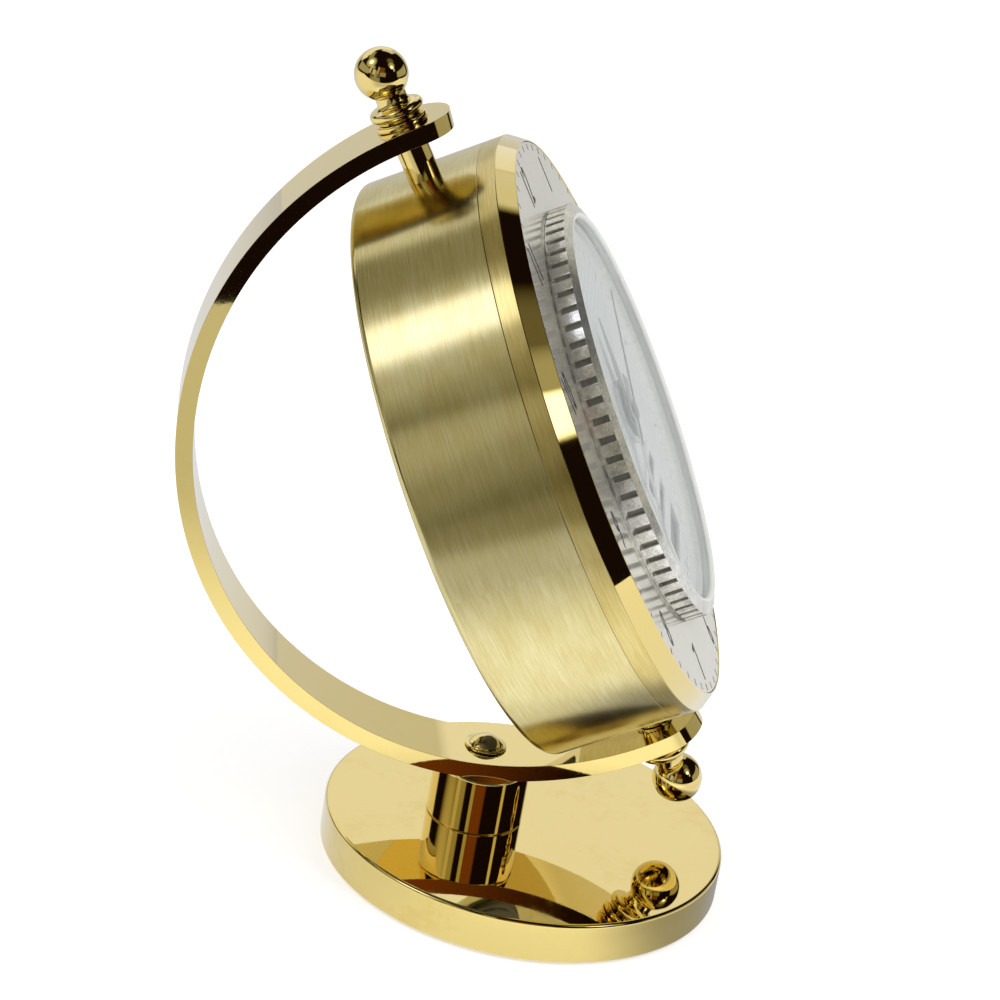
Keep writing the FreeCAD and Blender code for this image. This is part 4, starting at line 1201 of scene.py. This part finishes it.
@dataclass
class Insert:
    """Coin-edge ring, crystal, reflector ring, dial and calendar."""

    ring_radius: float = 28.6
    ring_neck: float = 28.1
    ring_bore: float = 27.0
    ring_lip: float = 26.4
    ring_back: float = 8.7
    ring_foot: float = 12.3
    band_step: float = 0.35
    band_top: float = 14.85
    ring_top: float = 15.55
    lip_seat: float = 14.95
    teeth: int = 72
    tooth_gap: float = 0.8
    tooth_depth: float = 0.45
    tooth_root: float = 0.5
    tooth_edge: float = 0.14
    gap_floor: float = 0.03
    insert_radius: float = 26.95
    crystal_seat: float = 13.95
    crystal_rise: float = 1.5
    dial_top: float = 12.55
    dial_seat: float = 12.15
    dial_reach: float = 25.35
    reflector_top: float = 26.25
    flutes: int = 120
    flute_depth: float = 0.15
    mark_outer: float = 24.9
    hour_mark: Point = (0.28, 1.6)
    minute_mark: Point = (0.09, 0.8)
    boss_radius: float = 3.45
    window_half: float = 6.0
    frame_border: float = 1.0
    frame_thickness: float = 0.3
    rows: tuple[Point, ...] = ((8.7, 10.6), (12.8, 14.8), (17.0, 20.6))
    card_top: float = 11.95
    date_radius: float = 13.8
    dates: int = 31
    today: int = 14

    def build(self) -> None:
        """Builds every piece of the insert."""
        self.ring()
        self.crystal()
        self.reflector()
        self.dial()
        self.calendar_frame()
        self.date_numbers()
        dress(Finishes.WHITE, "calendar_plate")
        dress(Finishes.DATE_CARD, "date_ring")
        dress(Finishes.GREY_CARD, "day_ring", "month_ring")
        dress(Finishes.STEEL, "boss_nut")

    def ring(self) -> None:
        """Ring with block teeth round its edge and a slope up to the crystal, and a dark band
        of painted shade in the gaps between the teeth.
        """
        core = self.ring_radius - self.tooth_depth
        band, rim = self.ring_foot + self.band_step, self.ring_bore - SEAT_GAP
        blank = Blank().turned([
            (self.ring_bore, self.ring_back), (self.ring_neck, self.ring_back),
            (self.ring_neck, band), (core, band), (core, self.band_top),
            (self.ring_radius, self.band_top), (self.ring_bore, self.ring_top),
            (rim, self.ring_top), Sweep((rim, self.lip_seat + SEAT_GAP), 90, 6),
            (self.ring_lip, self.lip_seat), (self.ring_bore, self.lip_seat),
        ], steps=240).soften(SEAT_GAP, 1, sharpest=60)
        blank.absorb(self.tooth_row())
        blank.made_into(
            "coin_ring_milled", Body.DRUM, Finishes.COIN, replaces=["coin_ring"],
            second=Finishes.WHITE,
            takes_second=lambda face: face.calc_center_median().xy.length < self.ring_bore)
        # painted shade: a thin dark band on the core between the teeth darkens the gaps where
        # shade falls
        low, high = band + SEAT_GAP, self.band_top - SEAT_GAP
        inner, outer = core - NEAR, core + self.gap_floor
        Blank().turned([
            (inner, low), (outer, low), (outer, high), (inner, high),
        ], steps=240).made_into("coin_ring_painted_gap_shade", Body.DRUM, Finishes.TARNISH)

    def tooth_row(self) -> Blank:
        """Block teeth of the coin edge, rooted in its band.

        Returns:
            The teeth.
        """
        pitch = FULL_TURN * self.ring_radius / self.teeth
        height = self.band_top - self.ring_foot + SEAT_GAP
        depth = self.tooth_depth + self.tooth_root
        teeth = Blank()
        teeth.block((depth, pitch - self.tooth_gap, height),
                    (self.ring_radius - depth / 2, 0, self.ring_foot + height / 2))
        teeth.soften(self.tooth_edge, only=lambda p: p.z < self.band_top)
        teeth.repeat(self.teeth)
        return teeth

    def crystal(self) -> None:
        """Low dome of even thickness with a flat rim."""
        low, high, rise = self.crystal_seat, self.lip_seat, self.crystal_rise
        Blank().turned([
            (0, low + rise), dome(-self.ring_lip, rise, low + rise, 24),
            (self.insert_radius, low), (self.insert_radius, high), (self.ring_lip, high),
            dome(self.ring_lip, rise, high + rise, 24),
        ], steps=160, closed=False).made_into(
            "crystal_dome", Body.DRUM, Finishes.GLASS, replaces=["crystal"])

    def reflector(self) -> None:
        """White sloping ring with fine flutes on its inner wall."""
        Blank().turned([
            (self.insert_radius, self.dial_top), (self.insert_radius, self.crystal_seat),
            (self.reflector_top, self.crystal_seat), (self.dial_reach, self.dial_top),
        ], steps=self.flutes * 4).waved(
            self.flutes, lambda reach: reach < self.reflector_top + 0.01,
            lambda wave: self.flute_depth * wave,
        ).made_into("reflector_ring_fluted", Body.DRUM, Finishes.WHITE,
                    replaces=["reflector_ring"])

    def dial(self) -> None:
        """Thin silver dial with fine printed minute marks and an opening for the calendar."""
        blank = Blank()
        for radius, segments in ((self.insert_radius, 160), (self.boss_radius, 48)):
            bmesh.ops.create_circle(blank.bm, cap_ends=False, radius=radius,
                                    segments=segments)
        lap = self.frame_border / 2
        half = self.window_half + lap
        top, bottom = lap - self.rows[0][0], -(self.rows[-1][1] + lap)
        corners = [blank.bm.verts.new((x, y, 0)) for x, y in
                   ((-half, bottom), (half, bottom), (half, top), (-half, top))]
        for pair in zip(corners, corners[1:] + corners[:1]):
            blank.bm.edges.new(pair)
        bmesh.ops.triangle_fill(blank.bm, edges=blank.bm.edges[:], use_beauty=True,
                                use_dissolve=False)
        inside = []
        for face in blank.bm.faces:
            middle = face.calc_center_median()
            in_window = abs(middle.x) < half and bottom < middle.y < top
            if in_window or middle.length < self.boss_radius * 0.98:
                inside.append(face)
        bmesh.ops.delete(blank.bm, geom=inside, context="FACES")
        blank.moved((0, 0, self.dial_seat)).thicken(self.dial_top - self.dial_seat)
        blank.cleaned().made_into("dial_silvered", Body.DRUM, Finishes.DIAL,
                                  replaces=["dial"], smooth=False)
        marks = Blank()
        marks.minute_marks(self.mark_outer, self.dial_top, self.hour_mark, self.minute_mark)
        marks.made_into("dial_marks", Body.DRUM, Finishes.GREY_INK, smooth=False)

    def calendar_frame(self) -> None:
        """White frame round the three openings."""
        blank = Blank()
        border, half, thick = self.frame_border, self.window_half, self.frame_thickness
        edges = [self.rows[0][0] - border]
        for row in self.rows:
            edges += row
        edges.append(self.rows[-1][1] + border)
        z, sill = self.dial_top + thick / 2, edges[-1]
        for upper, lower in zip(edges[::2], edges[1::2]):
            blank.block((half * 2, lower - upper, thick), (0, -(upper + lower) / 2, z))
        for x in (-half - border / 2, half + border / 2):
            blank.block((border, sill - edges[0], thick), (x, -(edges[0] + sill) / 2, z))
        blank.soften(FINE_EDGE).made_into("calendar_frame_white", Body.DRUM, Finishes.WHITE,
                                          replaces=["calendar_frame"])

    def date_numbers(self) -> None:
        """Numbers of the days round the date ring, with today's at the bottom."""
        blank = Blank()
        lettering = Lettering(height=1.5, narrow=0.75, thin=0.01, thickness=0.02)
        low = Matrix.Translation((0, -self.date_radius, self.card_top))
        for date in range(1, self.dates + 1):
            turn = Matrix.Rotation(FULL_TURN * (date - self.today) / self.dates, 4, "Z")
            lettering.figure(blank, str(date), turn @ low)
        blank.made_into("date_numbers", Body.DATE_WHEEL, Finishes.INK, smooth=False)


@dataclass
class Hands:
    """Hour, minute and second hands keep the shapes of the solids."""

    def build(self) -> None:
        """Dresses the three hands."""
        dress(Finishes.GREY_HAND, "hour_hand")
        dress(Finishes.PALE_HAND, "minute_hand")
        dress(Finishes.DARK_HAND, "second_hand")


@dataclass
class Rear:
    """Rear cover, battery door, knobs, screws, movement and battery."""

    cover_back: float = -8.6
    knob_back: float = -9.1
    knob_edge: float = 0.3
    knob_ring: tuple[float, ...] = (0.62, 0.66, 0.74, 0.78)
    ring_depth: float = 0.12
    stem_end: float = -3.2
    set_radius: float = 5.2
    set_height: float = 1.9
    set_stem: float = 1.2
    set_grooves: int = 36
    date_radius: float = 3.4
    date_height: float = 1.5
    date_stem: float = 1.0
    date_place: Point = (15.0, 12.0)
    date_grooves: int = 26
    groove_depth: float = 0.3
    screw_circle: float = 33.0
    screw_angles: tuple[float, ...] = (90.0, 200.0, 340.0)
    screw_radius: float = 1.1
    head_radius: float = 2.0
    head_height: float = 0.9
    head_edge: float = 0.5
    screw_end: float = -3.2
    cross_reach: float = 2.2
    cross_width: float = 0.42
    cross_depth: float = 0.02
    rib_height: float = 0.35
    rib_edge: float = 0.1
    edge_rib: Point = (35.5, 36.1)
    set_rib: Point = (6.3, 6.8)
    date_rib: Point = (4.4, 4.9)
    ridge_size: Triple = (12.0, 0.35, 0.3)
    ridge_sink: float = 0.1
    ridge_top: float = -11.0
    ridge_pitch: float = 0.8
    ridges: int = 5

    def build(self) -> None:
        """Builds the details of the rear and dresses its solids."""
        self.knob("set_knob", Body.TIME_SETTING, (0.0, 0.0), self.set_radius,
                  self.set_height, self.set_stem, self.set_grooves)
        self.knob("date_knob", Body.DATE_SETTING, self.date_place, self.date_radius,
                  self.date_height, self.date_stem, self.date_grooves)
        self.screws()
        self.ribs()
        self.grip()
        dress(Finishes.BLACK, "rear_cover", "battery_door", "standoff_1", "standoff_2",
              "standoff_3")
        dress(Finishes.STEEL, "positive_contact", "negative_contact")
        dress(Finishes.MOVEMENT, "movement_case")
        dress(Finishes.SLEEVE, "battery")

    def knob(self, name: str, body: Body, place: Point, radius: float, height: float,
             stem: float, grooves: int) -> None:
        """Knob with grooves round its edge and a stem into the movement.

        Args:
            name: solid that it stands for.
            body: moving body that it rides on.
            place: its middle on the rear.
            radius: radius over the ridges.
            height: height of its head.
            stem: radius of its stem.
            grooves: number of grooves.
        """
        back, front, edge = self.knob_back, self.knob_back + height, self.knob_edge
        ring = [(radius * share, back + sink) for share, sink in
                zip(self.knob_ring, (0.0, self.ring_depth, self.ring_depth, 0.0))]
        Blank().turned([
            (0, back), *ring, (radius - edge, back), (radius, back + edge), (radius, front),
            (stem, front), (stem, self.stem_end), (0, self.stem_end),
        ], steps=grooves * 6, closed=False).waved(
            grooves, lambda reach: reach > radius - edge / 2,
            lambda wave: self.groove_depth * (wave - 1) / 2,
        ).moved((*place, 0)).made_into(
            f"{name}_grooved", body, Finishes.BLACK, replaces=[name])

    def screws(self) -> None:
        """Pan-head screws, each with a cross of painted shade on its head: thin black blocks
        where a recess would be.
        """
        heads, painted_cross_shades = Blank(), Blank()
        back, flat = self.cover_back - self.head_height, self.head_radius - self.head_edge
        for angle in self.screw_angles:
            turn = math.radians(angle)
            x, y = self.screw_circle * math.cos(turn), self.screw_circle * math.sin(turn)
            heads.absorb(Blank().turned([
                (0, back), (flat, back), Sweep((flat, back + self.head_edge), 90, 6),
                (self.head_radius, self.cover_back), (self.screw_radius, self.cover_back),
                (self.screw_radius, self.screw_end), (0, self.screw_end),
            ], steps=48, closed=False).moved((x, y, 0)))
            # painted shade: two thin black blocks on each head stand for the shaded cross
            # recess
            for wide, tall in ((self.cross_reach, self.cross_width),
                               (self.cross_width, self.cross_reach)):
                painted_cross_shades.block((wide, tall, self.cross_depth),
                              (x, y, back - self.cross_depth / 2))
        heads.made_into("cover_screws_turned", Body.DRUM, Finishes.STEEL,
                        replaces=["cover_screws"])
        painted_cross_shades.made_into("cover_screw_painted_cross_shades", Body.DRUM, Finishes.INK, smooth=False)

    def ribs(self) -> None:
        """Raised rings moulded on the rear cover, round its edge and round both knobs."""
        blank = Blank()
        low, high = self.cover_back, self.cover_back - self.rib_height
        for (inner, outer), place in ((self.edge_rib, (0.0, 0.0)), (self.set_rib, (0.0, 0.0)),
                                      (self.date_rib, self.date_place)):
            blank.absorb(Blank().turned([
                (inner, low), (inner, high), (outer, high), (outer, low),
            ]).soften(self.rib_edge).moved((*place, 0)))
        blank.made_into("rear_cover_rings", Body.DRUM, Finishes.BLACK)

    def grip(self) -> None:
        """Ridges for a fingertip on the battery door."""
        blank = Blank()
        for index in range(self.ridges):
            y = self.ridge_top - index * self.ridge_pitch
            blank.block(self.ridge_size, (0, y, self.cover_back - self.ridge_sink))
        blank.soften(FINE_EDGE).made_into("battery_door_ridges", Body.BATTERY_LID,
                                          Finishes.BLACK)


# --------------------------------------------------------------------------------------
# Studio


def heading(azimuth: float, elevation: float) -> Vector:
    """Direction of an azimuth and an elevation, both in radians."""
    level = math.cos(elevation)
    return Vector((math.cos(azimuth) * level, math.sin(azimuth) * level,
                   math.sin(elevation)))


@dataclass(frozen=True)
class Glow:
    """A soft round patch of the studio's surroundings, as metal sees it, in degrees."""

    azimuth: float
    elevation: float
    inner: float
    outer: float
    level: float

    def seen(self, graph: Graph, way: Signal) -> Signal:
        """Brightness of the patch in a direction.

        Args:
            graph: graph of the world.
            way: direction of a ray.

        Returns:
            The brightness.
        """
        place = heading(math.radians(self.azimuth), math.radians(self.elevation))
        edge, core = math.cos(math.radians(self.outer)), math.cos(math.radians(self.inner))
        return graph.along(way, place).rise(edge, core) * self.level


@dataclass(frozen=True)
class Panel:
    """A soft upright panel of the studio's surroundings, as metal sees it, in degrees."""

    azimuth: float
    elevation: float
    half_width: float
    half_height: float
    level: float
    soft: float = 3.0

    def seen(self, graph: Graph, way: Signal) -> Signal:
        """Brightness of the panel in a direction.

        Args:
            graph: graph of the world.
            way: direction of a ray.

        Returns:
            The brightness.
        """
        turn, lift = math.radians(self.azimuth), math.radians(self.elevation)
        ahead = graph.along(way, heading(turn, lift))
        aside = graph.along(way, heading(turn + math.pi / 2, 0.0))
        above = graph.along(way, heading(turn, lift + math.pi / 2))
        share = ahead.rise(0.0, 0.05) * self.level
        for part, half in ((aside, self.half_width), (above, self.half_height)):
            inside = math.tan(math.radians(half))
            outside = math.tan(math.radians(half + self.soft))
            share = share * (part / ahead).size().rise(outside, inside)
        return share


@dataclass(frozen=True)
class Lamp:
    """A broad soft lamp that metal and the camera don't see."""

    name: str
    place: Triple
    power: float
    side: float = 0.7

    def build(self, aim: Triple) -> None:
        """Hangs the lamp.

        Args:
            aim: point that it shines at.
        """
        data = bpy.data.lights.new(self.name, "AREA")
        data.size = self.side
        data.energy = self.power
        lamp = bpy.data.objects.new(self.name, data)
        way = Vector(aim) - Vector(self.place)
        turn = way.to_track_quat("-Z", "Y").to_matrix().to_4x4()
        lamp.matrix_world = Matrix.Translation(self.place) @ turn
        lamp.visible_glossy = False
        lamp.visible_camera = False
        bpy.context.scene.collection.objects.link(lamp)


@dataclass
class Studio:
    """Pale floor, white background, soft lamps and camera."""

    floor_near: float = -0.235
    floor_far: float = 2.5
    floor_half: float = 1.2
    floor_tone: float = 0.8
    floor_glow: float = 0.45
    plain: float = 0.62
    dim: Triple = (0.008, 0.004, 0.003)
    patches: tuple[Union[Glow, Panel], ...] = (
        Glow(0.0, 0.0, 34.0, 48.0, 0.66),
        Panel(20.0, 30.0, 30.0, 10.0, 0.92, 6.0),
        Glow(5.0, -60.0, 60.0, 75.0, 0.66),
        Glow(-132.0, 40.0, 4.5, 8.0, 2.2),
        Glow(-130.0, 47.0, 6.0, 16.0, 0.42),
        Glow(-118.0, 63.0, 3.0, 16.0, 0.14),
        Glow(106.0, 44.0, 6.5, 11.0, 2.1),
        Glow(106.0, 43.0, 10.0, 24.0, 0.6),
        Panel(60.0, 50.0, 16.0, 7.0, 0.30),
        Panel(38.0, 38.0, 8.0, 6.0, 0.9, 4.0),
        Panel(-15.0, 46.0, 10.0, 8.0, 0.75, 5.0),
        Panel(101.0, 22.0, 3.0, 22.0, 0.24, 2.0),
        Panel(125.0, 24.0, 3.5, 18.0, 0.58, 2.0),
        Panel(134.0, 31.0, 5.0, 4.0, 0.36, 4.0),
        Panel(143.0, 14.0, 5.0, 9.0, 0.58, 3.0),
        Panel(152.0, 5.0, 4.0, 14.0, 0.34, 4.0),
        Panel(161.0, 24.0, 2.5, 14.0, 0.42, 2.0),
        Panel(-125.0, 29.0, 2.5, 5.0, 0.66, 1.5),
        Panel(90.0, 11.0, 28.0, 8.0, 0.4, 5.0),
        Panel(-84.0, 11.0, 26.0, 8.0, 0.4, 5.0),
        Panel(182.0, 10.0, 10.0, 6.0, 0.3, 5.0),
        Panel(150.0, -2.0, 16.0, 8.0, 0.15, 8.0),
        Panel(152.0, -18.0, 16.0, 8.0, 0.30, 8.0),
    )
    card: Panel = Panel(174.0, 28.0, 11.0, 8.0, 0.18, 5.0)
    card_tint: Triple = (1.0, 0.30, 0.06)
    warmth: Triple = (1.0, 1.04, 1.3)
    lamps: tuple[Lamp, ...] = (
        Lamp("key_lamp", (-0.5, -0.7, 0.9), 6.0),
        Lamp("fill_lamp", (-0.2, 0.8, 0.9), 4.0),
    )
    lamps_aim: Triple = (0.0, 0.0, 0.05)
    eye: Triple = (-0.335630, 0.061570, 0.188960)
    yaw: float = -0.1316757
    pitch: float = -0.3016588
    roll: float = 0.1691184
    focal: float = 2.717829
    shift: Point = (0.0068959, -0.221389)
    sensor: float = 36.0

    def build(self) -> None:
        """Builds the studio."""
        self.camera()
        self.world()
        self.floor()
        for lamp in self.lamps:
            lamp.build(self.lamps_aim)

    def camera(self) -> None:
        """Camera that looks at the left side of the drum from slightly above."""
        forward = heading(self.yaw, self.pitch)
        level = Vector((math.sin(self.yaw), -math.cos(self.yaw), 0))
        upright = level.cross(forward)
        right = math.cos(self.roll) * level + math.sin(self.roll) * upright
        up = math.cos(self.roll) * upright - math.sin(self.roll) * level
        data = bpy.data.cameras.new("Camera")
        data.sensor_fit = "HORIZONTAL"
        data.sensor_width = self.sensor
        data.lens = self.focal * self.sensor
        data.shift_x, data.shift_y = self.shift
        data.clip_start, data.clip_end = 0.01, 20.0
        camera = bpy.data.objects.new("Camera", data)
        turn = Matrix((right, up, -forward)).transposed().to_4x4()
        camera.matrix_world = Matrix.Translation(self.eye) @ turn
        bpy.context.scene.collection.objects.link(camera)
        bpy.context.scene.camera = camera

    def world(self) -> None:
        """White for the camera and through glass; a room with soft lights for metal."""
        world = bpy.data.worlds.new("Studio")
        bpy.context.scene.world = world
        world.use_nodes = True
        graph = Graph(world.node_tree)
        way = graph.add("ShaderNodeTexCoord", out="Generated")
        light, *others = [patch.seen(graph, way) for patch in self.patches]
        for other in others:
            light = light.largest(other)
        card = self.card.seen(graph, way)
        room = graph.join(*(
            (light ** bend).largest(card * part) + dark
            for bend, part, dark in zip(self.warmth, self.card_tint, self.dim)
        ))
        camera, glossy, clear = graph.rays()
        seen = camera.largest(clear)
        white = (1.0, 1.0, 1.0)
        level = glossy + (1.0 - glossy) * self.plain
        graph.close("ShaderNodeOutputWorld", "ShaderNodeBackground", {
            "Color": graph.blend(seen, graph.blend(glossy, white, room), white),
            "Strength": seen + (1.0 - seen) * level,
        })

    def floor(self) -> None:
        """Pale floor that looks white and keeps the clock's shadow."""
        blank = Blank()
        bmesh.ops.create_grid(blank.bm, x_segments=1, y_segments=1, size=0.5)
        bmesh.ops.scale(blank.bm, verts=blank.bm.verts,
                        vec=(self.floor_far - self.floor_near, self.floor_half * 2, 1))
        blank.moved(((self.floor_far + self.floor_near) / 2, 0, 0))
        mesh = bpy.data.meshes.new("floor")
        blank.bm.to_mesh(mesh)
        blank.bm.free()
        mesh.materials.append(self.floor_material())
        floor = bpy.data.objects.new("floor", mesh)
        bpy.context.scene.collection.objects.link(floor)

    def floor_material(self) -> bpy.types.Material:
        """Pale matt floor with painted shade that only metal sees: it falls off into the dim
        room, and a painted shadow darkens it round the base, most on its south side.

        Returns:
            The material.
        """
        material = bpy.data.materials.new("pale_floor")
        material.use_nodes = True
        graph = Graph(material.node_tree)
        camera, glossy, clear = graph.rays()
        seen = camera.largest(glossy).largest(clear)
        east, north, _ = graph.split(graph.place())
        away = (east * east + north * north) ** 0.5
        # painted shade: for glossy rays the floor darkens away from the clock, most to the
        # west
        west = (east / away).rise(-0.55, -0.95)
        near = away.rise(20.0, 60.0)
        round_about = near * (1.0 - west) * 0.25
        behind = near * (east / away).rise(0.3, 0.9) * 0.16
        # painted shadow round the base, darker on its south side, for glossy rays only
        shaded = away.rise(46.0, 34.0) * ((north / away).rise(-0.2, -0.75) * 0.45 + 0.17)
        fade = glossy * (round_about + behind + shaded + west * away.rise(60.0, 150.0) * 0.5)
        black, white = (0.0, 0.0, 0.0), (1.0, 1.0, 1.0)
        graph.close("ShaderNodeOutputMaterial", "ShaderNodeBsdfPrincipled", {
            "Base Color": graph.blend(fade, (self.floor_tone,) * 3, black),
            "Roughness": 0.9,
            "Specular IOR Level": 0.0,
            "Emission Color": graph.blend(seen * (1.0 - fade), black, white),
            "Emission Strength": self.floor_glow,
        })
        return material


def main() -> None:
    """Builds the whole clock in its studio."""
    logging.basicConfig(level=logging.INFO, format="%(message)s")
    bpy.context.scene.view_settings.view_transform = "Standard"
    for part in (Studio(), Stand(), Pivots(), Drum(), Insert(), Hands(), Rear()):
        LOG.info("building %s", type(part).__name__)
        part.build()


if __name__ == "__main__":
    main()
